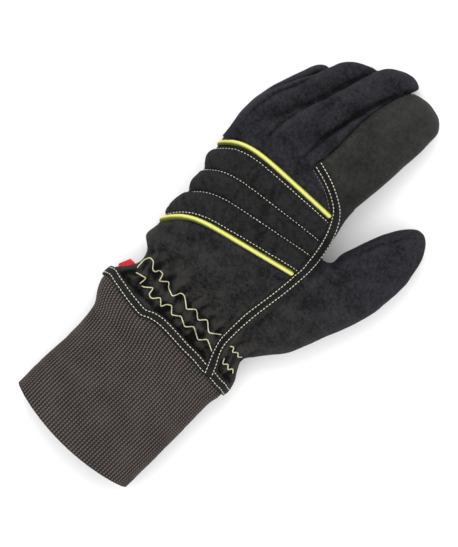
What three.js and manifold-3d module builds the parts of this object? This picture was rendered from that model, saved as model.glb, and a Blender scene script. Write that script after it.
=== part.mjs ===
// A firefighter's glove for the left hand, lying on its palm with the back of the hand up.
//
// The outer skin is a body loft from the wrist to the knuckles, four finger lofts and a thumb
// loft, joined. A smaller copy of each is taken out of it, which leaves a wall that is open at
// the wrist. That wall is then cut into the panels a glover would sew: the gathered lower back,
// the quilted knuckle pad, the cloth back of three fingers, the leather index finger, the two
// halves of the thumb and the leather palm. A ribbed wristlet, its binding, two pipings, a
// leather strip and a small tab are made on their own and lie against the panels.
//
// Millimetres. +Y runs from the wrist to the fingertips, +X to the thumb, +Z out of the back of
// the hand. The origin is on the flat of the palm, which rests at z = 0.
import * as THREE from 'three';
import { mergeVertices } from 'three/addons/utils/BufferGeometryUtils.js';
import Module from 'manifold-3d';

const wasm = await Module();
wasm.setup();

// Driving sizes
const HAND_LENGTH = 240; // from the wrist binding to the tip of the middle finger
const HAND_WIDTH = 104; // across the knuckles, without the thumb
const HAND_HEIGHT = 48; // the scale of all heights over the table
const REST_FROM_WRIST = 59; // from the wrist binding up to the origin on the palm
const WALL = 2.4; // cloth or leather with its lining
const SEAM_GAP = 0.3; // between two panels that are sewn together
const CUFF_WALL = 2.6;
const RIB_COUNT = 60; // ribs round the wristlet
const RIB_DEPTH = 0.7;
const BINDING_WIDTH = 8.5;
const BINDING_THICK = 1.3;
const PIPING_RADIUS = 1.9;
const PAD_PUFF = 3; // how far a quilted channel stands proud of its seams
const GATHER_DEPTH = 1.5; // ruffles that the wrist elastic makes
const GATHER_WAVES = 10; // ruffles over the back of the wrist
const STRIP_WIDTH = 7;
const STRIP_THICK = 1.2;
const TAB_THICK = 1.4;
const INDEX_ROOT = 0.6; // where the leather index finger is sewn to the palm, as a share
const FINGER_GAP = 0.5; // between neighbouring fingers, which press flat against each other
const FINGER_PRESS = 0.16; // how much wider a finger would be without its neighbour
const GROOVE_HEIGHT = 24; // over the table, where the edges of EDGES are taken
const THUMB_GAP = 0.42; // in the open air between index finger and thumb, as a share across
const THINNEST = 0.6; // the least width of a finger's ring

// Shape of the rings. A power under 1 squares an oval, and a sink over 1 flattens its lower half.
const BODY_SQUARE = 0.78;
const BODY_SINK = 1.25;
const BODY_WAIST = 0.45; // height of the widest place, as a share of the top
const FINGER_SQUARE_UP = 0.9;
const FINGER_SQUARE_ACROSS = 0.85;
const FINGER_SINK = 1.15;
const THUMB_SIDE_RISE = 0.1; // how much higher the back stands towards the thumb
const LINING_SLACK = 0.6; // how far the lining keeps out of the ruffles

// Steps round and along the meshes
const BACK_STEPS = 4 * GATHER_WAVES;
const PALM_STEPS = 10;
const INNER_BACK_STEPS = 14;
const INNER_PALM_STEPS = 6;
const FINGER_STEPS = 14;
const INNER_FINGER_STEPS = 10;
const THUMB_STEPS = 15;
const INNER_CUFF_STEPS = 24;
const PIPING_STEPS = 22;
const LINE_STEPS = 16;
const FAR = 2 * HAND_LENGTH; // reach of a cutting prism, past the whole glove

// The body of the glove, row by row from the wrist to the knuckles. along is a share of
// HAND_LENGTH from the binding; left, right and drop are shares of HAND_WIDTH; top is a share
// of HAND_HEIGHT. A row runs across the hand at a slope, and drops at the little-finger edge.
// puff and gather switch the quilting and the ruffles on, and the room inside the glove follows
// the rows of the lining.
const BODY = [
  { name: 'opening', along: -0.004, left: -0.567, right: 0.553, top: 0.74, under: 0.08, slope: 0, drop: 0, puff: 0, gather: 0.2, lining: true },
  { name: 'flare', along: 0.025, left: -0.54, right: 0.54, top: 0.7, under: 0.07, slope: 0, drop: 0, puff: 0, gather: 0.7, lining: false },
  { name: 'elastic_b', along: 0.05, left: -0.49, right: 0.51, top: 0.66, under: 0.05, slope: 0, drop: 0, puff: 0, gather: 1, lining: true },
  { name: 'blouse', along: 0.071, left: -0.46, right: 0.494, top: 0.71, under: 0.03, slope: 0, drop: 0, puff: 0, gather: 0.8, lining: false },
  { name: 'elastic_a', along: 0.092, left: -0.452, right: 0.486, top: 0.675, under: 0.02, slope: 0, drop: 0, puff: 0, gather: 1, lining: true },
  { name: 'release', along: 0.122, left: -0.475, right: 0.5, top: 0.77, under: 0, slope: 0, drop: 0, puff: 0, gather: 0.6, lining: true },
  { name: 'heel', along: 0.162, left: -0.538, right: 0.505, top: 0.84, under: 0, slope: 0.05, drop: 0.03, puff: 0, gather: 0.2, lining: true },
  { name: 'back', along: 0.225, left: -0.553, right: 0.49, top: 0.89, under: 0, slope: 0.15, drop: 0.08, puff: 0, gather: 0, lining: false },
  { name: 'low_piping', along: 0.33, left: -0.548, right: 0.442, top: 0.927, under: 0, slope: 0.26, drop: 0.125, puff: 0, gather: 0, lining: true },
  { name: 'channel_c', along: 0.37, left: -0.561, right: 0.413, top: 0.94, under: 0, slope: 0.23, drop: 0.11, puff: 1, gather: 0, lining: false },
  { name: 'quilt_b', along: 0.41, left: -0.556, right: 0.385, top: 0.945, under: 0, slope: 0.2, drop: 0.097, puff: 0, gather: 0, lining: false },
  { name: 'channel_b', along: 0.439, left: -0.57, right: 0.365, top: 0.948, under: 0, slope: 0.165, drop: 0.092, puff: 1, gather: 0, lining: false },
  { name: 'quilt_a', along: 0.469, left: -0.585, right: 0.351, top: 0.948, under: 0, slope: 0.13, drop: 0.088, puff: 0, gather: 0, lining: true },
  { name: 'channel_a', along: 0.508, left: -0.62, right: 0.337, top: 0.944, under: 0, slope: 0.09, drop: 0.1, puff: 1, gather: 0, lining: false },
  { name: 'up_piping', along: 0.549, left: -0.633, right: 0.32, top: 0.927, under: 0, slope: 0.05, drop: 0.12, puff: 0, gather: 0, lining: true },
  { name: 'knuckles', along: 0.588, left: -0.664, right: 0.306, top: 0.9, under: 0, slope: 0.02, drop: 0.085, puff: 0, gather: 0, lining: false },
  { name: 'roots', along: 0.634, left: -0.668, right: 0.3, top: 0.85, under: 0, slope: 0, drop: 0.02, puff: 0, gather: 0, lining: true },
  { name: 'inside', along: 0.67, left: -0.6, right: 0.26, top: 0.7, under: 0, slope: 0, drop: 0, puff: 0, gather: 0, lining: true },
];

// The edges of the fingers at the height of the grooves, seen from above: the free edge of the
// little finger, the three grooves and the free edge of the index finger, in the same shares
const EDGES = [
  { along: 0.5, outer: -0.64, little_ring: -0.63, ring_middle: -0.45, middle_index: -0.18, inner: 0.3 },
  { along: 0.57, outer: -0.672, little_ring: -0.628, ring_middle: -0.442, middle_index: -0.178, inner: 0.306 },
  { along: 0.62, outer: -0.679, little_ring: -0.627, ring_middle: -0.433, middle_index: -0.178, inner: 0.304 },
  { along: 0.68, outer: -0.662, little_ring: -0.605, ring_middle: -0.415, middle_index: -0.176, inner: 0.315 },
  { along: 0.75, outer: -0.617, little_ring: -0.556, ring_middle: -0.372, middle_index: -0.147, inner: 0.324 },
  { along: 0.82, outer: -0.563, little_ring: -0.503, ring_middle: -0.329, middle_index: -0.117, inner: 0.33 },
  { along: 0.86, outer: -0.532, little_ring: -0.482, ring_middle: -0.303, middle_index: -0.094, inner: 0.334 },
  { along: 0.89, outer: -0.51, little_ring: -0.47, ring_middle: -0.279, middle_index: -0.071, inner: 0.334 },
  { along: 0.92, outer: -0.49, little_ring: -0.46, ring_middle: -0.257, middle_index: -0.049, inner: 0.33 },
  { along: 0.945, outer: -0.47, little_ring: -0.45, ring_middle: -0.24, middle_index: -0.032, inner: 0.321 },
  { along: 0.965, outer: -0.46, little_ring: -0.44, ring_middle: -0.226, middle_index: -0.014, inner: 0.305 },
  { along: 1.02, outer: -0.44, little_ring: -0.42, ring_middle: -0.2, middle_index: 0.036, inner: 0.28 },
];

// The fingers, root to tip. left_in and right_in move a side in from its edge in EDGES, as
// shares of HAND_WIDTH, which rounds the tips. lean tips the side walls, so that each finger
// lies a little under the next one towards the thumb. under lifts its underside off the table.
const FINGERS = [
  {
    left: 'outer', right: 'little_ring', lean_left: 0, lean_right: 0.85,
    rows: [
      { along: 0.5, left_in: 0, right_in: 0, top: 0.6, under: 0 },
      { along: 0.62, left_in: 0, right_in: 0, top: 0.62, under: 0 },
      { along: 0.68, left_in: 0, right_in: 0, top: 0.58, under: 0.01 },
      { along: 0.75, left_in: 0, right_in: 0, top: 0.53, under: 0.03 },
      { along: 0.82, left_in: 0, right_in: 0, top: 0.48, under: 0.02 },
      { along: 0.845, left_in: 0.012, right_in: 0.01, top: 0.42, under: 0.02 },
      { along: 0.858, left_in: 0.04, right_in: 0.06, top: 0.3, under: 0.08 },
    ],
  },
  {
    left: 'little_ring', right: 'ring_middle', lean_left: 0.85, lean_right: 0.5,
    rows: [
      { along: 0.5, left_in: 0, right_in: 0, top: 0.74, under: 0 },
      { along: 0.62, left_in: 0, right_in: 0, top: 0.8, under: 0 },
      { along: 0.68, left_in: 0, right_in: 0, top: 0.76, under: 0.01 },
      { along: 0.75, left_in: 0, right_in: 0, top: 0.705, under: 0.04 },
      { along: 0.82, left_in: 0, right_in: 0, top: 0.65, under: 0.05 },
      { along: 0.86, left_in: 0, right_in: 0, top: 0.61, under: 0.03 },
      { along: 0.89, left_in: 0.02, right_in: 0, top: 0.57, under: 0 },
      { along: 0.92, left_in: 0.065, right_in: 0.01, top: 0.49, under: 0 },
      { along: 0.943, left_in: 0.13, right_in: 0.05, top: 0.34, under: 0.08 },
    ],
  },
  {
    left: 'ring_middle', right: 'middle_index', lean_left: 0.5, lean_right: 0.2,
    rows: [
      { along: 0.5, left_in: 0, right_in: 0, top: 0.8, under: 0 },
      { along: 0.62, left_in: 0, right_in: 0, top: 0.85, under: 0 },
      { along: 0.68, left_in: 0, right_in: 0, top: 0.82, under: 0.01 },
      { along: 0.75, left_in: 0, right_in: 0, top: 0.755, under: 0.05 },
      { along: 0.82, left_in: 0, right_in: 0, top: 0.71, under: 0.06 },
      { along: 0.86, left_in: 0, right_in: 0, top: 0.68, under: 0.05 },
      { along: 0.92, left_in: 0, right_in: 0, top: 0.62, under: 0.01 },
      { along: 0.965, left_in: 0.02, right_in: 0, top: 0.54, under: 0 },
      { along: 0.987, left_in: 0.05, right_in: 0.02, top: 0.45, under: 0.03 },
      { along: 1, left_in: 0.1, right_in: 0.07, top: 0.31, under: 0.12 },
    ],
  },
  {
    left: 'middle_index', right: 'inner', lean_left: 0.2, lean_right: 0,
    rows: [
      { along: 0.5, left_in: 0, right_in: 0, top: 0.8, under: 0 },
      { along: 0.62, left_in: 0, right_in: 0, top: 0.86, under: 0 },
      { along: 0.68, left_in: 0, right_in: 0, top: 0.83, under: 0 },
      { along: 0.75, left_in: 0, right_in: 0, top: 0.775, under: 0.03 },
      { along: 0.86, left_in: 0, right_in: 0, top: 0.7, under: 0.04 },
      { along: 0.92, left_in: 0, right_in: 0, top: 0.63, under: 0.01 },
      { along: 0.945, left_in: 0, right_in: 0.005, top: 0.59, under: 0 },
      { along: 0.97, left_in: 0.02, right_in: 0.03, top: 0.51, under: 0.02 },
      { along: 0.985, left_in: 0.05, right_in: 0.09, top: 0.41, under: 0.06 },
      { along: 0.995, left_in: 0.09, right_in: 0.16, top: 0.3, under: 0.12 },
    ],
  },
];

// The thumb, with its own edges
const THUMB = [
  { along: 0.035, left: 0.2, right: 0.45, top: 0.6, under: 0 },
  { along: 0.196, left: 0.2, right: 0.65, top: 0.76, under: 0 },
  { along: 0.28, left: 0.23, right: 0.735, top: 0.79, under: 0 },
  { along: 0.363, left: 0.28, right: 0.81, top: 0.77, under: 0.02 },
  { along: 0.43, left: 0.36, right: 0.855, top: 0.75, under: 0.04 },
  { along: 0.5, left: 0.438, right: 0.876, top: 0.71, under: 0.07 },
  { along: 0.579, left: 0.505, right: 0.871, top: 0.67, under: 0.07 },
  { along: 0.629, left: 0.554, right: 0.848, top: 0.62, under: 0.06 },
  { along: 0.667, left: 0.604, right: 0.82, top: 0.54, under: 0.05 },
  { along: 0.694, left: 0.654, right: 0.784, top: 0.44, under: 0.09 },
  { along: 0.71, left: 0.7, right: 0.748, top: 0.31, under: 0.17 },
];

// The knitted wristlet from the binding to its free edge, in the same shares. bow is how far
// the middle of a row hangs out past its two ends.
const CUFF = [
  { along: -0.0055, left: -0.555, right: 0.533, top: 0.73, under: 0.086, slope: 0, bow: 0 },
  { along: -0.03, left: -0.545, right: 0.536, top: 0.73, under: 0.08, slope: 0, bow: 0 },
  { along: -0.06, left: -0.515, right: 0.525, top: 0.74, under: 0.05, slope: 0, bow: 0 },
  { along: -0.1, left: -0.466, right: 0.52, top: 0.755, under: 0.02, slope: 0, bow: 0 },
  { along: -0.406, left: -0.456, right: 0.521, top: 0.77, under: 0, slope: 0.025, bow: 0.075 },
];

// Height of the side seam between the cloth back and the leather palm, wrist to fingertip
const SIDE_SEAM = [
  { along: -0.1, height: 0.3 },
  { along: 0.25, height: 0.33 },
  { along: 0.6, height: 0.31 },
  { along: 0.8, height: 0.24 },
  { along: 1.1, height: 0.2 },
];

// Where the leather strip runs over the back of the hand, from the binding to the index knuckle
const STRIP_ROUTE = [
  { across: 0.385, along: -0.004 },
  { across: 0.345, along: 0.035 },
  { across: 0.305, along: 0.085 },
  { across: 0.3, along: 0.18 },
  { across: 0.315, along: 0.235 },
  { across: 0.338, along: 0.31 },
  { across: 0.35, along: 0.395 },
  { across: 0.327, along: 0.471 },
  { across: 0.292, along: 0.523 },
  { across: 0.233, along: 0.572 },
  { across: 0.15, along: 0.6 },
  { across: 0.05, along: 0.619 },
  { across: -0.08, along: 0.634 },
];

// Where the leather of the index finger meets the cloth between it and the middle finger
const INDEX_EDGE = [
  { across: -0.083, along: 0.65 },
  { across: -0.055, along: 0.697 },
  { across: -0.064, along: 0.779 },
  { across: -0.024, along: 0.879 },
  { across: 0.018, along: 0.963 },
  { across: 0.05, along: 1.02 },
  { across: 0.12, along: 1.2 },
];

// Where the leather index finger ends and the cloth thumb begins, from the strip to the open air
const CROTCH = [
  { across: 0.2, along: 0.458 },
  { across: 0.345, along: 0.462 },
  { across: 0.392, along: 0.468 },
  { across: 0.4, along: 0.5 },
  { across: 0.43, along: 0.56 },
  { across: 0.48, along: 0.8 },
  { across: 0.5, along: 1.2 },
];

// The seam round the root of the thumb, on the palm side
const THUMB_SEAM = [
  { across: 0.4, along: -0.1 },
  { across: 0.36, along: 0.03 },
  { across: 0.26, along: 0.13 },
  { across: 0.22, along: 0.25 },
  { across: 0.25, along: 0.37 },
  { across: 0.33, along: 0.45 },
  { across: 0.395, along: 0.472 },
  { across: 0.43, along: 0.56 },
  { across: 0.48, along: 0.8 },
  { across: 0.5, along: 1.2 },
];

// The corners of the tab at the side of the wrist
const TAB = [
  { across: -0.53, along: 0.027 },
  { across: -0.44, along: 0.035 },
  { across: -0.44, along: 0.07 },
  { across: -0.513, along: 0.07 },
  { across: -0.546, along: 0.036 },
];

const alongY = (share) => share * HAND_LENGTH - REST_FROM_WRIST;
const acrossX = (share) => share * HAND_WIDTH;
const planPoint = (each) => [acrossX(each.across), alongY(each.along)];
const power = (value, exponent) => Math.sign(value) * Math.abs(value) ** exponent;
const between = (low, high, value) => THREE.MathUtils.smoothstep(value, low, high);
const row = (name) => BODY.find((each) => each.name === name);

// y of a row at a place across the hand
function rowY(each, x) {
  const edge = acrossX(each.left);
  const fall = x < 0 && each.drop ? each.drop * HAND_WIDTH * Math.min(x / edge, 1.2) ** 6 : 0;
  return alongY(each.along) + each.slope * x - fall;
}

// One ring of the body: a flat-bottomed oval. A positive inset shrinks it to the lining, which
// has no quilting and stays clear of the ruffles, and a negative one grows it.
function bodyRing(each, inset, backSteps, palmSteps) {
  const middle = acrossX((each.left + each.right) / 2);
  const reach = acrossX((each.right - each.left) / 2) - inset;
  const waist = each.top * HAND_HEIGHT * BODY_WAIST;
  const rise = each.top * HAND_HEIGHT - waist - inset;
  const points = [];
  for (let i = 0; i < backSteps + palmSteps; i += 1) {
    const onBack = i <= backSteps;
    const turn = onBack ? (Math.PI * i) / backSteps : Math.PI * (1 + (i - backSteps) / palmSteps);
    const c = power(Math.cos(turn), BODY_SQUARE);
    const s = power(Math.sin(turn), BODY_SQUARE);
    const clearOfStrip = 1 - between(0.28, 0.36, (middle + reach * c) / HAND_WIDTH);
    const back = between(0.05, 0.45, Math.sin(turn));
    const quilt = each.puff * PAD_PUFF * clearOfStrip * between(-0.25, 0.1, Math.sin(turn));
    const ruffle = each.gather * GATHER_DEPTH * back * Math.cos(2 * GATHER_WAVES * turn);
    const slack = -each.gather * GATHER_DEPTH * back * LINING_SLACK;
    const proud = inset > 0 ? slack : quilt + ruffle;
    const x = middle + (reach + proud) * c;
    const tilt = 1 + THUMB_SIDE_RISE * (x / HAND_WIDTH) * back;
    const floor = each.under * HAND_HEIGHT + inset;
    const sunk = Math.max(floor, waist + waist * BODY_SINK * s);
    const z = s > 0 ? waist + (rise * tilt + proud) * s : sunk;
    points.push(new THREE.Vector3(x, rowY(each, x), z));
  }
  return points;
}

// The value of a column in a table, between its rows
function lookup(table, along, column) {
  const next = table.findIndex((each) => each.along >= along);
  if (next === 0) return table[0][column];
  if (next < 0) return table[table.length - 1][column];
  const [low, high] = [table[next - 1], table[next]];
  return THREE.MathUtils.mapLinear(along, low.along, high.along, low[column], high[column]);
}

// One ring of a finger. A side that presses on a neighbour is flattened by a leaning wall.
function fingerRing(each, finger, inset, steps) {
  const start = acrossX(lookup(EDGES, each.along, finger.left) + each.left_in);
  const end = acrossX(lookup(EDGES, each.along, finger.right) - each.right_in);
  return ovalRing(each, { ...finger, start, end }, inset, steps);
}

function thumbRing(each, inset, steps) {
  const thumb = { start: acrossX(each.left), end: acrossX(each.right), lean_left: 0, lean_right: 0 };
  return ovalRing(each, thumb, inset, steps);
}

function ovalRing(each, side, inset, steps) {
  const top = each.top * HAND_HEIGHT - inset;
  const under = each.under * HAND_HEIGHT + inset;
  const centre = (top + under) / 2;
  const reach = (top - under) / 2;
  const points = [];
  for (let i = 0; i < steps; i += 1) {
    const turn = (2 * Math.PI * i) / steps;
    const s = power(Math.sin(turn), FINGER_SQUARE_UP);
    const c = power(Math.cos(turn), FINGER_SQUARE_ACROSS);
    const z = Math.max(under, centre + reach * (s < 0 ? FINGER_SINK * s : s));
    const lean = GROOVE_HEIGHT - z;
    const left = side.start + side.lean_left * lean + inset + FINGER_GAP / 2;
    const flat = side.end + side.lean_right * lean - inset - FINGER_GAP / 2;
    const right = Math.max(flat, left + THINNEST);
    const press = (c < 0 ? side.lean_left : side.lean_right) ? 1 + FINGER_PRESS : 1;
    const x = (left + right) / 2 + (press * c * (right - left)) / 2;
    points.push(new THREE.Vector3(THREE.MathUtils.clamp(x, left, right), alongY(each.along), z));
  }
  return points;
}

// A closed mesh through rings with the same number of points, run from -Y to +Y
function loft(rings) {
  const count = rings[0].length;
  const positions = [];
  const faces = [];
  for (const ring of rings) for (const p of ring) positions.push(p.x, p.y, p.z);
  const ends = [rings[0], rings[rings.length - 1]];
  for (const ring of ends) {
    const centre = ring.reduce((sum, p) => sum.add(p), new THREE.Vector3()).divideScalar(count);
    positions.push(centre.x, centre.y, centre.z);
  }
  const start = rings.length * count;
  const last = (rings.length - 1) * count;
  for (let i = 0; i < count; i += 1) {
    const j = (i + 1) % count;
    for (let r = 0; r < rings.length - 1; r += 1) {
      const a = r * count + i;
      const b = r * count + j;
      faces.push(a, a + count, b, b, a + count, b + count);
    }
    faces.push(start, i, j, start + 1, last + j, last + i);
  }
  const geometry = new THREE.BufferGeometry();
  geometry.setAttribute('position', new THREE.Float32BufferAttribute(positions, 3));
  geometry.setIndex(faces);
  return geometry;
}

function solid(geometry) {
  const bare = geometry.clone();
  bare.deleteAttribute('normal');
  bare.deleteAttribute('uv');
  const merged = mergeVertices(bare, 1e-4);
  const mesh = new wasm.Mesh({
    numProp: 3,
    vertProperties: new Float32Array(merged.attributes.position.array),
    triVerts: new Uint32Array(merged.index.array),
  });
  mesh.merge();
  return new wasm.Manifold(mesh);
}

function geometryOf(manifold) {
  const mesh = manifold.getMesh();
  const geometry = new THREE.BufferGeometry();
  geometry.setAttribute('position', new THREE.BufferAttribute(new Float32Array(mesh.vertProperties), 3));
  geometry.setIndex(new THREE.BufferAttribute(new Uint32Array(mesh.triVerts), 1));
  geometry.computeVertexNormals();
  return geometry;
}

// The part of a cut that has the most material, without the crumbs beside it
function largest(manifold) {
  return manifold.decompose().reduce((best, each) => (each.volume() > best.volume() ? each : best));
}

const together = (solids) => solids.reduce((sum, each) => sum.add(each));

// The whole outer skin, or one grown evenly from it to lay things on
function skinSolid(growth) {
  const body = solid(loft(BODY.map((each) => bodyRing(each, -growth, BACK_STEPS, PALM_STEPS))));
  const fingers = FINGERS.map((finger) => (
    solid(loft(finger.rows.map((each) => fingerRing(each, finger, -growth, FINGER_STEPS))))
  ));
  return together([body, ...fingers, thumbSolid(THUMB, -growth, THUMB_STEPS)]);
}

function thumbSolid(rows, inset, steps) {
  return solid(loft(rows.map((each) => thumbRing(each, inset, steps))));
}

// The rows of the room stop a wall short of the tip
function roomRows(rows) {
  const inner = rows.slice(0, -1).map((each) => ({ ...each }));
  const tip = inner[inner.length - 1];
  tip.along = Math.min(tip.along, rows[rows.length - 1].along - (1.2 * WALL) / HAND_LENGTH);
  return inner;
}

function innerRoom() {
  const rows = BODY.filter((each) => each.lining).map((each) => ({ ...each }));
  rows[0].along -= 0.05;
  rows[rows.length - 1].along -= (1.2 * WALL) / HAND_LENGTH;
  const body = solid(loft(rows.map((each) => (
    bodyRing(each, WALL, INNER_BACK_STEPS, INNER_PALM_STEPS)
  ))));
  const fingers = FINGERS.map((finger) => solid(loft(
    roomRows(finger.rows).map((each) => fingerRing(each, finger, WALL, INNER_FINGER_STEPS)),
  )));
  return together([body, ...fingers, thumbSolid(roomRows(THUMB), WALL, INNER_FINGER_STEPS + 2)]);
}

// A prism over a plan outline
function prism(outline, low = -FAR, high = FAR) {
  const shape = new THREE.Shape(outline.map(([x, y]) => new THREE.Vector2(x, y)));
  const geometry = new THREE.ExtrudeGeometry(shape, { depth: high - low, bevelEnabled: false });
  geometry.translate(0, 0, low);
  return solid(geometry);
}

// A smooth line through a few plan points
function planLine(rows, steps = LINE_STEPS) {
  const curve = new THREE.SplineCurve(rows.map((each) => new THREE.Vector2(...planPoint(each))));
  return curve.getSpacedPoints(steps).map((p) => [p.x, p.y]);
}

// The same line moved to its left, with mitred corners
function moved(line, offset) {
  const points = line.map(([x, y]) => new THREE.Vector2(x, y));
  const normals = points.slice(1).map((p, i) => {
    const run = p.clone().sub(points[i]).normalize();
    return new THREE.Vector2(-run.y, run.x);
  });
  return points.map((p, i) => {
    const before = normals[Math.max(i - 1, 0)];
    const after = normals[Math.min(i, normals.length - 1)];
    const mitre = before.clone().add(after).normalize();
    p.addScaledVector(mitre, offset / mitre.dot(before));
    return [p.x, p.y];
  });
}

// The edge between the back of the hand and the thumb side: up the strip, then up the finger
const indexEdge = planLine(INDEX_EDGE, 6);
const thumbSideEdge = [...planLine(STRIP_ROUTE), ...indexEdge];

function backRegion() {
  const edge = moved(thumbSideEdge, SEAM_GAP / 2);
  const last = edge[edge.length - 1];
  return prism([[edge[0][0], -FAR], ...edge, [last[0], FAR], [-FAR, FAR], [-FAR, -FAR]]);
}

function thumbSideRegion() {
  const edge = moved(thumbSideEdge, -SEAM_GAP / 2).reverse();
  const first = edge[edge.length - 1];
  return prism([[first[0], -FAR], [FAR, -FAR], [FAR, FAR], [edge[0][0], FAR], ...edge]);
}

// A body row on the plan, with closer points where it drops at the little-finger edge
function rowLine(each) {
  const steps = each.drop ? 1.5 * LINE_STEPS : 1;
  return Array.from({ length: steps + 1 }, (_, i) => {
    const x = acrossX(-0.75 + 1.75 * (i / steps) ** 1.7);
    return [x, rowY(each, x)];
  });
}

// Everything between two body rows, held back from them by a margin each
function rowsRegion(low, high, lowMargin, highMargin = 0) {
  const lower = moved(rowLine(low), lowMargin);
  const far = [[lower[0][0], FAR], [lower[lower.length - 1][0], FAR]];
  const upper = high ? moved(rowLine(high), -highMargin) : far;
  return prism([...lower, ...upper.reverse()]);
}

// Everything above or below the side seam
function seamRegion(above, offset) {
  const line = SIDE_SEAM.map((each) => [alongY(each.along), each.height * HAND_HEIGHT + offset]);
  const end = above ? FAR : -FAR;
  const outline = [...line, [line[line.length - 1][0], end], [line[0][0], end]];
  if (!above) outline.reverse();
  const shape = new THREE.Shape(outline.map(([y, z]) => new THREE.Vector2(y, z)));
  const geometry = new THREE.ExtrudeGeometry(shape, { depth: 2 * FAR, bevelEnabled: false });
  geometry.translate(0, 0, -FAR);
  // Shape x, y and depth become the glove's y, z and x.
  geometry.applyMatrix4(new THREE.Matrix4().set(0, 0, 1, 0, 1, 0, 0, 0, 0, 1, 0, 0, 0, 0, 0, 1));
  return solid(geometry);
}

// The plan on the little-finger side of a line that runs up the hand, or on its thumb side
function sideOf(rows, littleFingerSide, margin) {
  const line = moved(planLine(rows), littleFingerSide ? margin : -margin);
  const [first, last] = [line[0], line[line.length - 1]];
  if (littleFingerSide) return prism([...line, [last[0], FAR], [-FAR, FAR], [-FAR, first[1]]]);
  return prism([...line.reverse(), [first[0], -FAR], [FAR, -FAR], [FAR, FAR], [last[0], FAR]]);
}

const skin = skinSolid(0);
const shell = skin.subtract(innerRoom());
const half = SEAM_GAP / 2;
const openingCut = rowsRegion(row('opening'), null, half);
const backHalf = shell.intersect(seamRegion(true, half)).intersect(openingCut);
const palmHalf = shell.intersect(seamRegion(false, -half)).intersect(openingCut);

function indexFinger() {
  const side = thumbSideRegion();
  const backPart = side.intersect(sideOf(CROTCH, true, half)).intersect(seamRegion(true, half));
  const root = alongY(INDEX_ROOT) + half;
  const frontEdge = moved(indexEdge, -half).filter(([, y]) => y > root);
  const first = frontEdge[0];
  const last = frontEdge[frontEdge.length - 1];
  const gapSide = acrossX(THUMB_GAP);
  const frontPart = prism(
    [[first[0], root], [gapSide, root], [gapSide, FAR], [last[0], FAR], ...frontEdge.reverse()],
  ).intersect(seamRegion(false, half));
  return largest(shell.intersect(backPart.add(frontPart)));
}

function palm() {
  const root = alongY(INDEX_ROOT) - half;
  const edge = moved(indexEdge, half).filter(([, y]) => y > root);
  const last = edge[edge.length - 1];
  const overIndex = prism([[edge[0][0], root], [FAR, root], [FAR, FAR], [last[0], FAR], ...edge.reverse()]);
  const thumbSide = sideOf(THUMB_SEAM, true, half);
  return largest(palmHalf.intersect(thumbSide).subtract(overIndex));
}

// A ring of the wristlet, with its points spread evenly and the free edge bowed out
function cuffRing(each, inset, steps) {
  const plain = { ...each, puff: 0, gather: 0 };
  const middle = acrossX((each.left + each.right) / 2);
  const reach = acrossX((each.right - each.left) / 2);
  const curve = new THREE.CatmullRomCurve3(bodyRing(plain, inset, 40, 30), true);
  return curve.getSpacedPoints(steps).slice(0, -1).map((p) => {
    const side = Math.min(Math.abs(p.x - middle) / reach, 1);
    return p.setY(p.y - each.bow * HAND_WIDTH * (1 - side * side));
  });
}

// Every other point of a ribbed ring lies in the valley between two ribs
function ribbedRing(each) {
  const valleys = cuffRing(each, RIB_DEPTH, 2 * RIB_COUNT);
  return cuffRing(each, 0, 2 * RIB_COUNT).map((p, i) => (i % 2 ? valleys[i] : p));
}

function knitCuff() {
  const rows = [...CUFF].reverse();
  const room = rows.map((each) => ({ ...each }));
  room[0].along -= 0.1;
  room[room.length - 1].along += 0.02;
  const outer = solid(loft(rows.map(ribbedRing)));
  return outer.subtract(solid(loft(room.map((each) => cuffRing(each, CUFF_WALL, INNER_CUFF_STEPS)))));
}

// The binding round the wrist, over the last of the panels and the first of the wristlet
function wristBinding() {
  const opening = row('opening');
  const share = BINDING_WIDTH / 2 / HAND_LENGTH;
  const ring = (inset, reach) => [-reach, 0, reach].map((step) => bodyRing(
    { ...opening, gather: 0, along: opening.along + step, left: opening.left, right: opening.right },
    inset, 36, PALM_STEPS,
  ));
  const clear = SEAM_GAP + GATHER_DEPTH * opening.gather;
  const outer = solid(loft(ring(-clear - BINDING_THICK, share)));
  const inner = solid(loft(ring(-clear, share * 1.5)));
  return outer.subtract(inner);
}

// A layer that lies on the skin under a plan outline
function layer(outline, clear, thick) {
  const above = prism(outline, SIDE_SEAM[0].height * HAND_HEIGHT, FAR);
  return skinSolid(clear + thick).subtract(skinSolid(clear)).intersect(above);
}

// The leather strip over the joint of the back and the thumb side
function sideStrip() {
  const start = alongY(row('opening').along) + BINDING_WIDTH / 2 + 2 * SEAM_GAP;
  const route = planLine(STRIP_ROUTE, 14);
  const outline = [...moved(route, -STRIP_WIDTH / 2), ...moved(route, STRIP_WIDTH / 2).reverse()];
  const pastBinding = prism([[-FAR, start], [FAR, start], [FAR, FAR], [-FAR, FAR]]);
  return largest(layer(outline, SEAM_GAP, STRIP_THICK).intersect(pastBinding));
}

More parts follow.
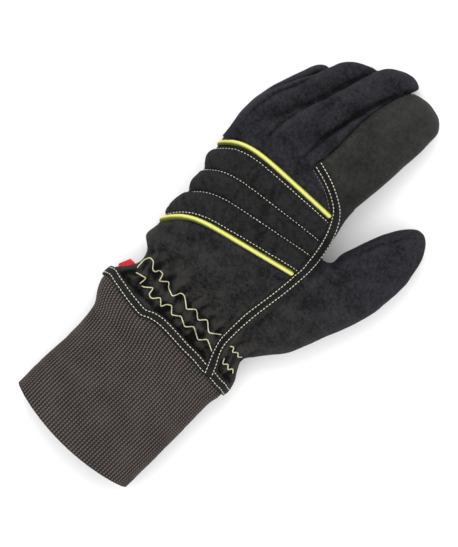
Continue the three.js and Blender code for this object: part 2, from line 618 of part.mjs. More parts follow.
// A corded piping, half sunk in the joint along a row of the body
function piping(name) {
  const ring = bodyRing(row(name), 0, BACK_STEPS, PALM_STEPS).slice(0, BACK_STEPS + 1);
  const edge = moved(planLine(STRIP_ROUTE, 40), STRIP_WIDTH / 2 + SEAM_GAP + PIPING_RADIUS);
  const stripX = (y) => edge.reduce((best, p) => (Math.abs(p[1] - y) < Math.abs(best[1] - y) ? p : best))[0];
  const sunk = PIPING_RADIUS / 3;
  const seam = lookup(SIDE_SEAM, row(name).along, 'height') * HAND_HEIGHT;
  const route = ring.map((p, i) => {
    const before = ring[Math.max(i - 1, 0)];
    const after = ring[Math.min(i + 1, BACK_STEPS)];
    const out = new THREE.Vector3(after.z - before.z, 0, before.x - after.x).normalize();
    return p.clone().addScaledVector(out, sunk);
  }).filter((p) => p.x < stripX(p.y) && p.z > seam + PIPING_RADIUS);
  const section = new THREE.Shape();
  section.absarc(0, 0, PIPING_RADIUS, 0, 2 * Math.PI);
  const cord = new THREE.ExtrudeGeometry(section, {
    curveSegments: 3,
    steps: PIPING_STEPS,
    bevelEnabled: false,
    extrudePath: new THREE.CatmullRomCurve3(route),
  });
  return solid(cord);
}

// A short cloth tab that stands out of the side seam at the wrist
function redTab() {
  const outline = TAB.map(planPoint);
  const height = lookup(SIDE_SEAM, TAB[0].along, 'height') * HAND_HEIGHT;
  const grown = solid(loft(BODY.map((each) => bodyRing(each, -SEAM_GAP, BACK_STEPS, PALM_STEPS))));
  return largest(prism(outline, height, height + TAB_THICK).subtract(grown));
}

const MATERIALS = {
  cloth: { color: 0x2b2b30, roughness: 0.95, metalness: 0 },
  pad: { color: 0x2a2a2c, roughness: 0.9, metalness: 0 },
  leather: { color: 0x33342f, roughness: 0.7, metalness: 0 },
  knit: { color: 0x46413f, roughness: 1, metalness: 0 },
  piping: { color: 0xe2e455, roughness: 0.7, metalness: 0 },
  tab: { color: 0xd23c42, roughness: 0.9, metalness: 0 },
};

const glove = new THREE.Group();

function piece(name, manifold, material) {
  const mesh = new THREE.Mesh(geometryOf(manifold), new THREE.MeshStandardMaterial(MATERIALS[material]));
  mesh.name = name;
  glove.add(mesh);
}

const back = backHalf.intersect(backRegion());
const beside = PIPING_RADIUS + 2 * SEAM_GAP;
piece('lower_back', largest(back.intersect(rowsRegion(row('opening'), row('low_piping'), half, beside))), 'cloth');
piece('knuckle_pad', largest(back.intersect(rowsRegion(row('low_piping'), row('up_piping'), beside, beside))), 'pad');
piece('finger_back', largest(back.intersect(rowsRegion(row('up_piping'), null, beside))), 'cloth');
piece('index_finger', indexFinger(), 'leather');
piece('thumb_back', largest(backHalf.intersect(thumbSideRegion()).intersect(sideOf(CROTCH, false, half))), 'cloth');
piece('thumb_front', largest(palmHalf.intersect(sideOf(THUMB_SEAM, false, half))), 'leather');
piece('palm', palm(), 'leather');
piece('knit_cuff', knitCuff(), 'knit');
piece('wrist_binding', wristBinding(), 'leather');
piece('side_strip', sideStrip(), 'leather');
piece('piping_lower', piping('low_piping'), 'piping');
piece('piping_upper', piping('up_piping'), 'piping');
piece('red_tab', redTab(), 'tab');

export default glove;
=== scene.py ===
# %% [markdown]
# # A firefighter's glove, lying on its palm
#
# The glove comes packed as plain solids. This lesson dresses them: each panel becomes cloth,
# leather or knit with its own shape, seams and stitches. Everything is in the solids' frame:
# +Y runs from the wrist to the fingertips, +X to the thumb and +Z out of the back of the hand.
# Sizes are in millimetres until a mesh is made, because Blender itself counts in metres.

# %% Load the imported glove
import math

import bpy
import numpy as np
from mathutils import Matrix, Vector
from mathutils.bvhtree import BVHTree


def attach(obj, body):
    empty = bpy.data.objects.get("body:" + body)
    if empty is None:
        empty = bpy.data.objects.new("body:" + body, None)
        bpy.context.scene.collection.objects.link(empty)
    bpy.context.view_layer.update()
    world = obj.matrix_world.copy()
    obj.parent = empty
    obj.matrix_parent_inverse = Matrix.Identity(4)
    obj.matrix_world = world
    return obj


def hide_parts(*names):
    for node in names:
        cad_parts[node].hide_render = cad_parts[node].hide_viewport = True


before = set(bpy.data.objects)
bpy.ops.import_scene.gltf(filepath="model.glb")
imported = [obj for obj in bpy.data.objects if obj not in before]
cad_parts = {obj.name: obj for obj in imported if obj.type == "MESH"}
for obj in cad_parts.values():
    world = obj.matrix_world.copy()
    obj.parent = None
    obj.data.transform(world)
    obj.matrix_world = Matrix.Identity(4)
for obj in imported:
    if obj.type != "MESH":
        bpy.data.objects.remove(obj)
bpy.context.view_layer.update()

# %% [markdown]
# ## The glove's own sizes
#
# The solids were drawn from a few sizes and tables. Nearly the same numbers are repeated here, so
# that each dressed piece lands on its solid: a few rows of the outline were moved by a few millimetres
# after the first renders. A table gives the glove row by row, and the skin follows a smooth curve
# through its rows. All shares are of the three sizes of the hand.

# %% Sizes
HAND_LENGTH = 240.0
HAND_WIDTH = 104.0
HAND_HEIGHT = 48.0
REST_FROM_WRIST = 59.0
WALL = 2.2
PAD_PUFF = 3.0
GATHER_DEPTH = 1.5
GATHER_WAVES = 10
PIPING_RADIUS = 1.9
STRIP_WIDTH = 7.0
FINGER_GAP = 1.7
GROOVE_HEIGHT = 24.0
INDEX_ROOT = 0.6
THUMB_GAP = 0.42
RIBS = 104

# %% The rows of the body of the glove
# along, left, right, top, under, slope, drop, puff, gather
BODY = {
    "opening": (-0.004, -0.567, 0.553, 0.74, 0.08, 0, 0, 0, 0.2),
    "flare": (0.025, -0.54, 0.55, 0.69, 0.07, 0, 0, 0, 0.7),
    "elastic_b": (0.05, -0.49, 0.52, 0.66, 0.05, 0, 0, 0, 1),
    "blouse": (0.071, -0.46, 0.494, 0.71, 0.03, 0, 0, 0, 0.8),
    "elastic_a": (0.092, -0.452, 0.486, 0.675, 0.02, 0, 0, 0, 1),
    "release": (0.122, -0.475, 0.5, 0.77, 0, 0, 0, 0, 0.6),
    "heel": (0.166, -0.532, 0.505, 0.84, 0, 0.05, 0.03, 0, 0.2),
    "back": (0.225, -0.553, 0.49, 0.89, 0, 0.15, 0.08, 0, 0),
    "low_piping": (0.33, -0.548, 0.442, 0.927, 0, 0.26, 0.125, 0, 0),
    "channel_c": (0.37, -0.561, 0.413, 0.94, 0, 0.23, 0.11, 1, 0),
    "quilt_b": (0.41, -0.556, 0.378, 0.945, 0, 0.2, 0.097, 0, 0),
    "channel_b": (0.439, -0.57, 0.365, 0.948, 0, 0.165, 0.092, 1, 0),
    "quilt_a": (0.469, -0.585, 0.346, 0.948, 0, 0.13, 0.088, 0, 0),
    "channel_a": (0.508, -0.62, 0.337, 0.944, 0, 0.09, 0.1, 1, 0),
    "up_piping": (0.549, -0.633, 0.32, 0.927, 0, 0.05, 0.12, 0, 0),
    "knuckles": (0.588, -0.664, 0.306, 0.9, 0, 0.02, 0.085, 0, 0),
    "roots": (0.634, -0.668, 0.3, 0.85, 0, 0, 0.02, 0, 0),
    "inside": (0.67, -0.6, 0.26, 0.7, 0, 0, 0, 0, 0),
}
BODY_ROWS = np.array(list(BODY.values()))

# %% The edges of the fingers, and their rows
# along, outer, little_ring, ring_middle, middle_index, inner
EDGES = np.array([
    (0.5, -0.64, -0.63, -0.45, -0.18, 0.3),
    (0.57, -0.672, -0.628, -0.442, -0.178, 0.306),
    (0.62, -0.679, -0.627, -0.433, -0.178, 0.304),
    (0.68, -0.662, -0.605, -0.415, -0.176, 0.315),
    (0.75, -0.625, -0.556, -0.372, -0.147, 0.337),
    (0.82, -0.568, -0.503, -0.329, -0.117, 0.346),
    (0.86, -0.532, -0.482, -0.303, -0.094, 0.349),
    (0.89, -0.51, -0.47, -0.279, -0.071, 0.347),
    (0.92, -0.49, -0.46, -0.257, -0.049, 0.343),
    (0.945, -0.47, -0.45, -0.24, -0.032, 0.338),
    (0.965, -0.46, -0.44, -0.226, -0.014, 0.32),
    (1.02, -0.44, -0.42, -0.2, 0.036, 0.28),
])
# lean of the left and right wall, then rows of: along, left_in, right_in, top, under
FINGERS = {
    "little": (0, 0.85, [
        (0.5, 0, 0, 0.6, 0), (0.62, 0, 0, 0.62, 0), (0.68, 0, 0, 0.58, 0.01),
        (0.75, 0, 0, 0.53, 0.03), (0.82, 0, 0, 0.48, 0.02), (0.845, 0.012, 0.01, 0.42, 0.02),
        (0.858, 0.04, 0.06, 0.3, 0.08),
    ]),
    "ring": (0.85, 0.5, [
        (0.5, 0, 0, 0.74, 0), (0.62, 0, 0, 0.8, 0), (0.68, 0, 0, 0.76, 0.01),
        (0.75, 0, 0, 0.705, 0.04), (0.82, 0, 0, 0.65, 0.05), (0.86, 0, 0, 0.61, 0.03),
        (0.89, 0, 0, 0.57, 0), (0.92, 0.035, 0, 0.5, 0), (0.943, 0.085, 0.02, 0.38, 0.06),
        (0.953, 0.13, 0.05, 0.3, 0.1),
    ]),
    "middle": (0.5, 0.2, [
        (0.5, 0, 0, 0.8, 0), (0.62, 0, 0, 0.85, 0), (0.68, 0, 0, 0.82, 0.01),
        (0.75, 0, 0, 0.755, 0.05), (0.82, 0, 0, 0.71, 0.06), (0.86, 0, 0, 0.68, 0.05),
        (0.92, -0.01, 0, 0.62, 0.01), (0.965, -0.01, 0, 0.55, 0), (0.987, 0.015, -0.01, 0.47, 0.03),
        (1, 0.06, 0, 0.35, 0.09), (1.006, 0.1, 0.05, 0.28, 0.13),
    ]),
    "index": (0.2, 0, [
        (0.5, 0, 0, 0.8, 0), (0.62, 0, 0, 0.86, 0), (0.68, 0, 0, 0.83, 0),
        (0.75, 0, 0, 0.775, 0.03), (0.86, 0, 0, 0.7, 0.04), (0.92, 0, 0, 0.63, 0.01),
        (0.945, 0, 0, 0.59, 0), (0.965, 0.015, 0.012, 0.53, 0.02), (0.978, 0.04, 0.04, 0.45, 0.05),
        (0.985, 0.07, 0.08, 0.37, 0.09), (0.99, 0.12, 0.14, 0.28, 0.14),
    ]),
}
# along, left, right, top, under
THUMB = np.array([
    (0.035, 0.2, 0.44, 0.6, 0), (0.1, 0.2, 0.49, 0.66, 0), (0.196, 0.2, 0.65, 0.76, 0),
    (0.28, 0.23, 0.737, 0.79, 0), (0.363, 0.28, 0.815, 0.77, 0.02), (0.43, 0.375, 0.863, 0.75, 0.04),
    (0.45, 0.38, 0.871, 0.74, 0.05), (0.461, 0.443, 0.876, 0.73, 0.055),
    (0.478, 0.452, 0.88, 0.72, 0.063), (0.5, 0.455, 0.885, 0.71, 0.07),
    (0.579, 0.514, 0.879, 0.67, 0.07), (0.629, 0.557, 0.854, 0.62, 0.06),
    (0.667, 0.604, 0.83, 0.54, 0.05), (0.694, 0.654, 0.794, 0.44, 0.09), (0.71, 0.7, 0.752, 0.31, 0.17),
])

# %% The wristlet, the side seam and the lines on the plan
# along, left, right, top, under, slope, bow
CUFF = np.array([
    (-0.404, -0.457, 0.53, 0.77, 0, 0.012, 0.07),
    (-0.31, -0.458, 0.532, 0.766, 0.006, 0.006, 0.03),
    (-0.2, -0.446, 0.532, 0.76, 0.012, 0, 0),
    (-0.1, -0.466, 0.528, 0.755, 0.02, 0, 0),
    (-0.06, -0.52, 0.53, 0.74, 0.05, 0, 0),
    (-0.03, -0.554, 0.543, 0.73, 0.08, 0, 0),
    (-0.0055, -0.559, 0.537, 0.73, 0.086, 0, 0),
])
# along, height of the seam between the back and the palm
SIDE_SEAM = np.array([(-0.1, 0.3), (0.25, 0.33), (0.6, 0.31), (0.8, 0.24), (1.1, 0.2)])
# across, along
STRIP_ROUTE = [
    (0.402, -0.022), (0.385, -0.004), (0.345, 0.035), (0.305, 0.085), (0.3, 0.18), (0.315, 0.235),
    (0.338, 0.31), (0.35, 0.395), (0.327, 0.471), (0.292, 0.523), (0.233, 0.572), (0.15, 0.6),
    (0.05, 0.619), (-0.08, 0.634),
]
INDEX_EDGE = [
    (-0.083, 0.65), (-0.07, 0.69), (-0.072, 0.76), (-0.07, 0.83), (-0.028, 0.929),
    (0.022, 0.972), (0.05, 1.0), (0.12, 1.2),
]
CROTCH = [
    (0.2, 0.458), (0.345, 0.462), (0.392, 0.468), (0.4, 0.5), (0.43, 0.56), (0.48, 0.8), (0.5, 1.2),
]
THUMB_SEAM = [
    (0.4, -0.1), (0.36, 0.03), (0.26, 0.13), (0.22, 0.25), (0.25, 0.37), (0.33, 0.45),
    (0.395, 0.472), (0.43, 0.56), (0.48, 0.8), (0.5, 1.2),
]
TAB = [(-0.53, 0.027), (-0.44, 0.035), (-0.44, 0.07), (-0.513, 0.07), (-0.546, 0.036)]
print("rows:", len(BODY_ROWS), "body,", len(EDGES), "fingers,", len(THUMB), "thumb,", len(CUFF), "wristlet")

# %% [markdown]
# ## Curves through the tables
#
# Straight pieces between two rows would show as ridges in a dense mesh. A curve that passes
# through every row, with its slope at a row taken from the rows on both sides, has none.

# %% Smooth tables and plan lines
def along_y(share):
    """Millimetres from the origin, for a share of the hand's length from the wrist."""
    return share * HAND_LENGTH - REST_FROM_WRIST


def across_x(share):
    """Millimetres across, for a share of the hand's width."""
    return share * HAND_WIDTH


def on_plan(shares):
    """Points of the plan in millimetres, from shares of the hand's width and length."""
    return np.array(shares) * (HAND_WIDTH, HAND_LENGTH) - (0, REST_FROM_WRIST)


def smooth_rows(table, at):
    """Every column of a table at new values of its first column: a cubic between two rows,
    whose slope at each row is the slope between that row's two neighbours."""
    table = np.asarray(table, float)
    x = table[:, 0]
    slope = np.gradient(table, axis=0) / np.gradient(x)[:, None]
    i = np.clip(np.searchsorted(x, at, side="right") - 1, 0, len(x) - 2)
    h = (x[i + 1] - x[i])[:, None]
    t = np.clip((np.asarray(at, float)[:, None] - x[i][:, None]) / h, 0, 1)
    start = (1 + 2 * t) * (1 - t) ** 2 * table[i] + t * (1 - t) ** 2 * h * slope[i]
    end = t * t * (3 - 2 * t) * table[i + 1] + t * t * (t - 1) * h * slope[i + 1]
    return start + end


def gone_along(path):
    """How far along a path each of its points lies."""
    return np.r_[0, np.cumsum(np.linalg.norm(np.diff(path, axis=0), axis=1))]


def between(at, x, values):
    """Each column of values, which stand at x, read off at new places on straight lines."""
    return np.stack([np.interp(at, x, column) for column in values.T], -1)


def resampled(path, step):
    """The path at even steps of length."""
    gone = gone_along(path)
    at = np.linspace(0, gone[-1], max(int(round(gone[-1] / step)), 2) + 1)
    return between(at, gone, path)


def smooth_line(points, steps):
    """A smooth curve through a few points, in equal steps of the straight way between them."""
    gone = gone_along(points)
    return smooth_rows(np.c_[gone, points], np.linspace(0, gone[-1], steps + 1))[:, 1:]


def plan_line(shares, steps):
    """A smooth line through points of the plan. The second turn makes its steps equal."""
    return smooth_line(smooth_line(on_plan(shares), steps), steps)


strip_line = plan_line(STRIP_ROUTE, 70)
index_line = plan_line(INDEX_EDGE, 30)
print("strip:", round(gone_along(strip_line)[-1]), "mm long on the plan")

# %% Small curves and directions
def smoothstep(low, high, value):
    """0 below low, 1 above high, and an S curve between them."""
    t = np.clip((value - low) / (high - low), 0, 1)
    return t * t * (3 - 2 * t)


def hump(distance, width):
    """A bell curve: 1 at no distance, and hardly anything beyond twice the width."""
    return np.exp(-(distance / width) ** 2)


def power(value, exponent):
    """A power that keeps the sign."""
    return np.sign(value) * np.abs(value) ** exponent


def full_turn(count):
    """Even angles all the way round."""
    return np.linspace(0, 2 * np.pi, count, endpoint=False)


def unit(vectors):
    """The vectors with a length of 1."""
    return vectors / np.maximum(np.linalg.norm(vectors, axis=-1, keepdims=True), 1e-9)


def tangents(path):
    """The direction of a path at each of its points."""
    return unit(np.gradient(path, axis=0))


def no_longer(steps, most):
    """The steps, each cut down to a length of most."""
    length = np.maximum(np.linalg.norm(steps, axis=1), 1e-9)
    return steps * (np.minimum(length, most) / length)[:, None]


print("half of an S curve:", smoothstep(0, 2, 1.0))

# %% [markdown]
# ## Meshes from grids
#
# Nearly every piece is a grid of points worked out by a formula. These helpers turn such arrays
# into Blender meshes at once, without a loop over the points.

# %% Mesh helpers
def grid_faces(grid, closed_rows=False, closed_columns=True, flip=True):
    """Quads of a grid of points, which may close on itself either way. Unless flipped, they face
    the side from which the columns run anticlockwise to the rows."""
    rows, columns = grid.shape[:2]
    i = np.arange(rows if closed_rows else rows - 1)[:, None]
    j = np.arange(columns if closed_columns else columns - 1)[None, :]
    here, above = i * columns, (i + 1) % rows * columns
    beside = (j + 1) % columns
    faces = np.stack([here + j, above + j, above + beside, here + beside], -1).reshape(-1, 4)
    return faces[:, ::-1] if flip else faces


def joined(parts):
    """Several pairs of points and quads as one pair."""
    points, faces, start = [], [], 0
    for part_points, part_faces in parts:
        points.append(part_points.reshape(-1, 3))
        faces.append(part_faces + start)
        start += len(points[-1])
    return np.concatenate(points), np.concatenate(faces)


def new_object(name, points, faces):
    """An object at the origin, whose mesh in metres comes from points in millimetres and quads."""
    points = np.asarray(points, float).reshape(-1, 3)
    mesh = bpy.data.meshes.new(name)
    mesh.vertices.add(len(points))
    mesh.vertices.foreach_set("co", (points / 1000).ravel())
    mesh.loops.add(faces.size)
    mesh.loops.foreach_set("vertex_index", faces.ravel().astype(np.int32))
    mesh.polygons.add(len(faces))
    mesh.polygons.foreach_set("loop_start", np.arange(0, faces.size, 4, dtype=np.int32))
    mesh.polygons.foreach_set("loop_total", np.full(len(faces), 4, np.int32))
    mesh.update(calc_edges=True)
    mesh.validate()
    mesh.polygons.foreach_set("use_smooth", np.ones(len(mesh.polygons), bool))
    piece = bpy.data.objects.new(name, mesh)
    bpy.context.scene.collection.objects.link(piece)
    return piece


def dress(piece, finish, slot, *nodes):
    """Gives a piece its finish, hangs it under the root body and hides the solids it stands for."""
    piece.data.materials.clear()
    piece.data.materials.append(finish)
    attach(piece, "root")
    if nodes:
        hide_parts(*nodes)


def walled(piece):
    """Gives a skin its wall, which grows inwards."""
    wall = piece.modifiers.new("wall", "SOLIDIFY")
    wall.thickness = WALL / 1000
    wall.offset = -1


def set_uv(piece, rows_at, columns_at):
    """A UV map for a piece made of a whole flipped grid: every column has its u and every row its
    v. A closed grid gives one value more than it has rows or columns, so that no quad runs back."""
    u, v = np.meshgrid(columns_at, rows_at)
    low, high = slice(None, -1), slice(1, None)
    corners = [(u[at], v[at]) for at in ((low, high), (high, high), (high, low), (low, low))]
    layer = piece.data.uv_layers.new(name="lay")
    layer.data.foreach_set("uv", np.array(corners).transpose(2, 3, 0, 1).astype(np.float32).ravel())


def set_wear_and_shade(piece, wear):
    """The wear and painted shade of each point as an attribute that a finish can read. Low
    values paint hollows darker as shade, high values make ridges paler as wear.
    """
    piece.data.attributes.new("wear", "FLOAT", "POINT").data.foreach_set("value", wear.astype(np.float32))


print("mesh helpers ready")

# %% Arrays of a mesh, its normals, wear and relief
def arrays(mesh):
    """Points in millimetres, quads and edges of a mesh."""
    points = np.empty(len(mesh.vertices) * 3)
    mesh.vertices.foreach_get("co", points)
    faces = np.empty(len(mesh.loops), np.int32)
    mesh.loops.foreach_get("vertex_index", faces)
    edges = np.empty(len(mesh.edges) * 2, np.int32)
    mesh.edges.foreach_get("vertices", edges)
    return points.reshape(-1, 3) * 1000, faces.reshape(-1, 4), edges.reshape(-1, 2)


def used_up(piece):
    """The arrays of a helper object with its modifiers worked out. The object is then removed."""
    made = arrays(piece.evaluated_get(bpy.context.evaluated_depsgraph_get()).data)
    mesh = piece.data
    bpy.data.objects.remove(piece)
    bpy.data.meshes.remove(mesh)
    return made


def normals_of(points, faces):
    """At each point, the mean of its faces' normals. A quad's is the cross of its diagonals."""
    p = points[faces]
    cross = np.cross(p[:, 2] - p[:, 0], p[:, 3] - p[:, 1])
    total = np.zeros_like(points)
    for corner in range(4):
        for axis in range(3):
            total[:, axis] += np.bincount(faces[:, corner], cross[:, axis], len(points))
    return unit(total)


def relaxed(points, edges, times, weight):
    """Each point moves part of the way to the mean of its neighbours, a few times."""
    count = np.maximum(np.bincount(edges.ravel(), minlength=len(points)), 1)
    for _ in range(times):
        total = np.zeros_like(points)
        for axis in range(3):
            for one, other in ((0, 1), (1, 0)):
                near = points[edges[:, other], axis]
                total[:, axis] += np.bincount(edges[:, one], near, len(points))
        points = points + weight * (total / count[:, None] - points)
    return points


def wear_and_shade_of(points, edges, normals):
    """How far each point stands out of the calm surface round it, as a number from 0 in a hollow
    over 0.5 on level cloth to 1 on a ridge that is 1.1 mm proud. Finishes read it as painted shade
    in the hollows and as paler wear on the ridges."""
    calm = relaxed(points, edges, 24, 0.8)
    return np.clip(0.5 + ((points - calm) * normals).sum(1) / 2.2, 0, 1)


def rumple(points, size, seed):
    """A calm random relief between about -1 and 1: the mean of plane waves that run in random
    directions, with wavelengths round a given size."""
    waves = 14
    random = np.random.default_rng(seed)
    direction = unit(random.normal(size=(waves, 3)))
    pace = 2 * np.pi / (size * random.uniform(0.7, 1.5, waves))
    phase = random.uniform(0, 2 * np.pi, waves)
    return np.sin(points @ (direction * pace[:, None]).T + phase).sum(1) / math.sqrt(waves)


print("array helpers ready")

# %% [markdown]
# ## The outer skin
#
# A glove is sewn inside out and then turned, so its seams are soft valleys between rounded
# panels. The skin starts as six closed lofts: the body, four fingers and the thumb. A voxel
# remesh melts them into one surface of even small quads, as a sculptor would, and a little
# smoothing rounds the creases between the fingers. It could also be modelled by hand as one
# cage, but the lofts keep it exactly on the solids.

# %% Rings of the body, the fingers and the thumb
def row_y(row, x):
    """Where a row of the body crosses the plan at x: it slopes, and drops near the little finger."""
    along, left, slope, drop = row[0], row[1], row[5], row[6]
    fall = drop * HAND_WIDTH * np.minimum(np.abs(x / across_x(left)), 1.2) ** 6
    return along_y(along) + slope * x - np.where(x < 0, fall, 0)


def body_rings(rows, turns, grow=0.0):
    """Flat-bottomed ovals, one for each row. A power under 1 squares the oval. Quilted rows bulge
    and gathered rows ruffle along their turn, and the lower half is pressed flat."""
    columns = rows.T[:, :, None]
    along, left, right, top, under, _, _, puff, gather = columns
    turn = turns[None, :]
    middle = across_x((left + right) / 2)
    reach = across_x((right - left) / 2) + grow
    waist = top * HAND_HEIGHT * 0.45
    rise = top * HAND_HEIGHT - waist + grow
    c = power(np.cos(turn), 0.78)
    s = power(np.sin(turn), 0.78)
    back = smoothstep(0.05, 0.45, np.sin(turn))
    clear_of_strip = 1 - smoothstep(0.28, 0.36, (middle + reach * c) / HAND_WIDTH)
    quilt = puff * PAD_PUFF * clear_of_strip * smoothstep(-0.25, 0.25, np.sin(turn))
    wave = np.cos(2 * GATHER_WAVES * turn + 0.9 * np.sin(5 * turn + 40 * along))
    proud = quilt + gather * GATHER_DEPTH * back * wave
    x = middle + (reach + proud) * c
    tilt = 1 + 0.1 * x / HAND_WIDTH * back
    sunk = np.maximum(under * HAND_HEIGHT - grow, waist + waist * 1.25 * s)
    z = np.where(s > 0, waist + (rise * tilt + proud) * s, sunk)
    return np.stack([x, row_y(columns, x), z], -1)


def oval_rings(along, start, end, top, under, lean_left=0, lean_right=0):
    """Ovals between two edges. A side that presses on a neighbour is a flat leaning wall, which
    clips an oval that would be a little wider without it."""
    turn = full_turn(72)[None, :]
    s = power(np.sin(turn), 0.9)
    c = power(np.cos(turn), 0.85)
    top, under = (share[:, None] * HAND_HEIGHT for share in (top, under))
    centre, reach = (top + under) / 2, (top - under) / 2
    z = np.maximum(under, centre + reach * np.where(s < 0, 1.15 * s, s))
    lean = GROOVE_HEIGHT - z
    left = start[:, None] + lean_left * lean + (FINGER_GAP / 2 if lean_left else 0)
    right = end[:, None] + lean_right * lean - (FINGER_GAP / 2 if lean_right else 0)
    right = np.maximum(right, left + 0.6)
    press = np.where(c < 0, 1 + 0.16 * (lean_left > 0), 1 + 0.16 * (lean_right > 0))
    x = np.clip((left + right) / 2 + press * c * (right - left) / 2, left, right)
    y = np.broadcast_to(along_y(along)[:, None], x.shape)
    return np.stack([x, y, z], -1)


print("the body has", len(BODY_ROWS), "rows")

# %% Rings of one finger
def towards_tip(rows):
    """90 places from the first row to the last, closer together towards the tip."""
    share = 1 - (1 - np.linspace(0, 1, 90)) ** 1.6
    return rows[0, 0] + (rows[-1, 0] - rows[0, 0]) * share


def finger_rings(name):
    """The rings of one finger, between its two edges."""
    lean_left, lean_right, rows = FINGERS[name]
    rows = np.array(rows)
    at = towards_tip(rows)
    edges = smooth_rows(EDGES, at)
    column = 1 + list(FINGERS).index(name)
    along, left_in, right_in, top, under = smooth_rows(rows, at).T
    start = across_x(edges[:, column] + left_in)
    end = across_x(edges[:, column + 1] - right_in)
    return oval_rings(along, start, end, top, under, lean_left, lean_right)


def closed(rings):
    """The rings with their two ends drawn together to a point."""
    ends = [np.repeat(ring.mean(0)[None], ring.shape[0], 0) for ring in (rings[0], rings[-1])]
    return np.concatenate([ends[0][None], rings, ends[1][None]])


print("index finger:", finger_rings("index").shape[0], "rings")

# %% Six lofts, melted into one skin
VOXEL = 1.0


def melted(lofts):
    """One mesh of even quads round all the lofts: Blender's voxel remesh, read back as arrays."""
    parts = [(rings, grid_faces(rings, flip=False)) for rings in map(closed, lofts)]
    lump = new_object("lofts", *joined(parts))
    remesh = lump.modifiers.new("melt", "REMESH")
    remesh.mode = "VOXEL"
    remesh.voxel_size = VOXEL / 1000
    return used_up(lump)


# below its first row, the body runs straight on
body_at = np.linspace(-0.03, BODY_ROWS[-1, 0], 200)
body_rows = smooth_rows(BODY_ROWS, body_at)
below = body_at < BODY_ROWS[0, 0]
body_rows[below, 0] = body_at[below]
thumb = smooth_rows(THUMB, towards_tip(THUMB)).T
lofts = [body_rings(body_rows, full_turn(260)), *map(finger_rings, FINGERS)]
lofts.append(oval_rings(thumb[0], across_x(thumb[1]), across_x(thumb[2]), thumb[3], thumb[4]))
skin, skin_faces, skin_edges = melted(lofts)
skin = relaxed(skin, skin_edges, 9, 0.6)
knuckle = smoothstep(78, 90, skin[:, 1]) * (1 - smoothstep(100, 112, skin[:, 1])) * (skin[:, 2] > 15)
skin = relaxed(skin, skin_edges, 12, 0.6 * knuckle[:, None])
print("skin:", len(skin), "points,", len(skin_faces), "quads")

# %% [markdown]
# ## The sewing pattern
#
# Each panel is the part of the skin between a few lines on the plan and the seam along the side.
# For every point of the skin, each panel gets a number: how deep the point lies inside it. The
# panel with the largest number owns the point, and half the lead over the second is the distance
# to the seam. The same fields then draw the seams, so cut, valley and stitches always agree.

# %% Panels as depths inside their lines
PANEL_NAMES = (
    "lower_back", "knuckle_pad", "finger_back", "index_finger", "thumb_back", "thumb_front", "palm",
)
PANEL = {name: number for number, name in enumerate(PANEL_NAMES)}
FAR = 900


def lengthened(line):
    """The line with both ends run on far past the glove."""
    first = line[0] + FAR * (line[0] - line[1]) / np.linalg.norm(line[0] - line[1])
    last = line[-1] + FAR * (line[-1] - line[-2]) / np.linalg.norm(line[-1] - line[-2])
    return np.concatenate([[first], line, [last]])


def left_of(line, points):
    """Distance on the plan from a line, positive on its left. The nearest stretch decides."""
    best = np.full(len(points), 1e12)
    side = np.zeros(len(points))
    for start, end in zip(line[:-1], line[1:]):
        run = end - start
        gone = points[:, :2] - start
        t = np.clip(gone @ run / (run @ run), 0, 1)
        off = gone - t[:, None] * run
        square = (off ** 2).sum(1)
        nearer = square < best
        best[nearer] = square[nearer]
        side[nearer] = (run[0] * off[:, 1] - run[1] * off[:, 0])[nearer]
    return np.sign(side) * np.sqrt(best)


edge_line = lengthened(np.concatenate([strip_line, index_line[1:]]))
crotch_line = lengthened(plan_line(CROTCH, 40))
thumb_line = lengthened(plan_line(THUMB_SEAM, 50))


def seam_height(y):
    """Height of the side seam over the table at y."""
    share = (y + REST_FROM_WRIST) / HAND_LENGTH
    return smooth_rows(SIDE_SEAM, share)[:, 1] * HAND_HEIGHT


def depths(points):
    """For each point, how deep it lies inside each panel: the least of its depths inside the
    lines that bound the panel."""
    x, y, z = points.T
    above = z - seam_height(y)
    hand_side = left_of(edge_line, points)
    finger_side = left_of(crotch_line, points)
    palm_side = left_of(thumb_line, points)
    low = y - row_y(BODY["low_piping"], x)
    up = y - row_y(BODY["up_piping"], x)
    past_root = y - along_y(INDEX_ROOT)
    both = np.clip(past_root, 0, 5)
    back = np.minimum(above, hand_side)
    side = np.minimum(above, -hand_side)
    upper = np.minimum(above + both, finger_side)
    front = np.minimum(np.minimum(both - above, past_root), across_x(THUMB_GAP) - x)
    return np.stack([
        np.minimum(back, -low),
        np.minimum(np.minimum(back, low), -up),
        np.minimum(back, up),
        np.minimum(-hand_side, np.maximum(upper, front)),
        np.minimum(side, -finger_side),
        np.minimum(-above, -palm_side),
        np.minimum(np.minimum(-above, palm_side), np.maximum(-past_root, hand_side)),
    ], 1)


print("panels:", *PANEL)

# %% The lead of a panel, and the distance to its seam
def lead_of(points, one, other, step):
    """By how much each point lies deeper in one panel than in the other, and the slope of that
    lead along x, y and z, taken over a small step."""
    row = np.arange(len(points))

    def lead(at):
        values = depths(at)
        return values[row, one] - values[row, other]

    here = lead(points)
    return here, np.stack([lead(points + move) - here for move in np.eye(3) * step], 1) / step


def seam_distance(points, normals):
    """Each point's panel, and its distance to the seam, which is half its lead over the next
    panel. The lead changes slowly where the skin is steep, so it is divided by its slope along
    the skin."""
    own, next_one = np.argsort(-depths(points), axis=1)[:, :2].T
    lead, slope = lead_of(points, own, next_one, 0.3)
    slope -= (slope * normals).sum(1)[:, None] * normals
    steep = np.clip(np.linalg.norm(slope, axis=1) / 2, 0.35, 1.5)
    return own, lead / 2 / steep


print("seam distance ready")

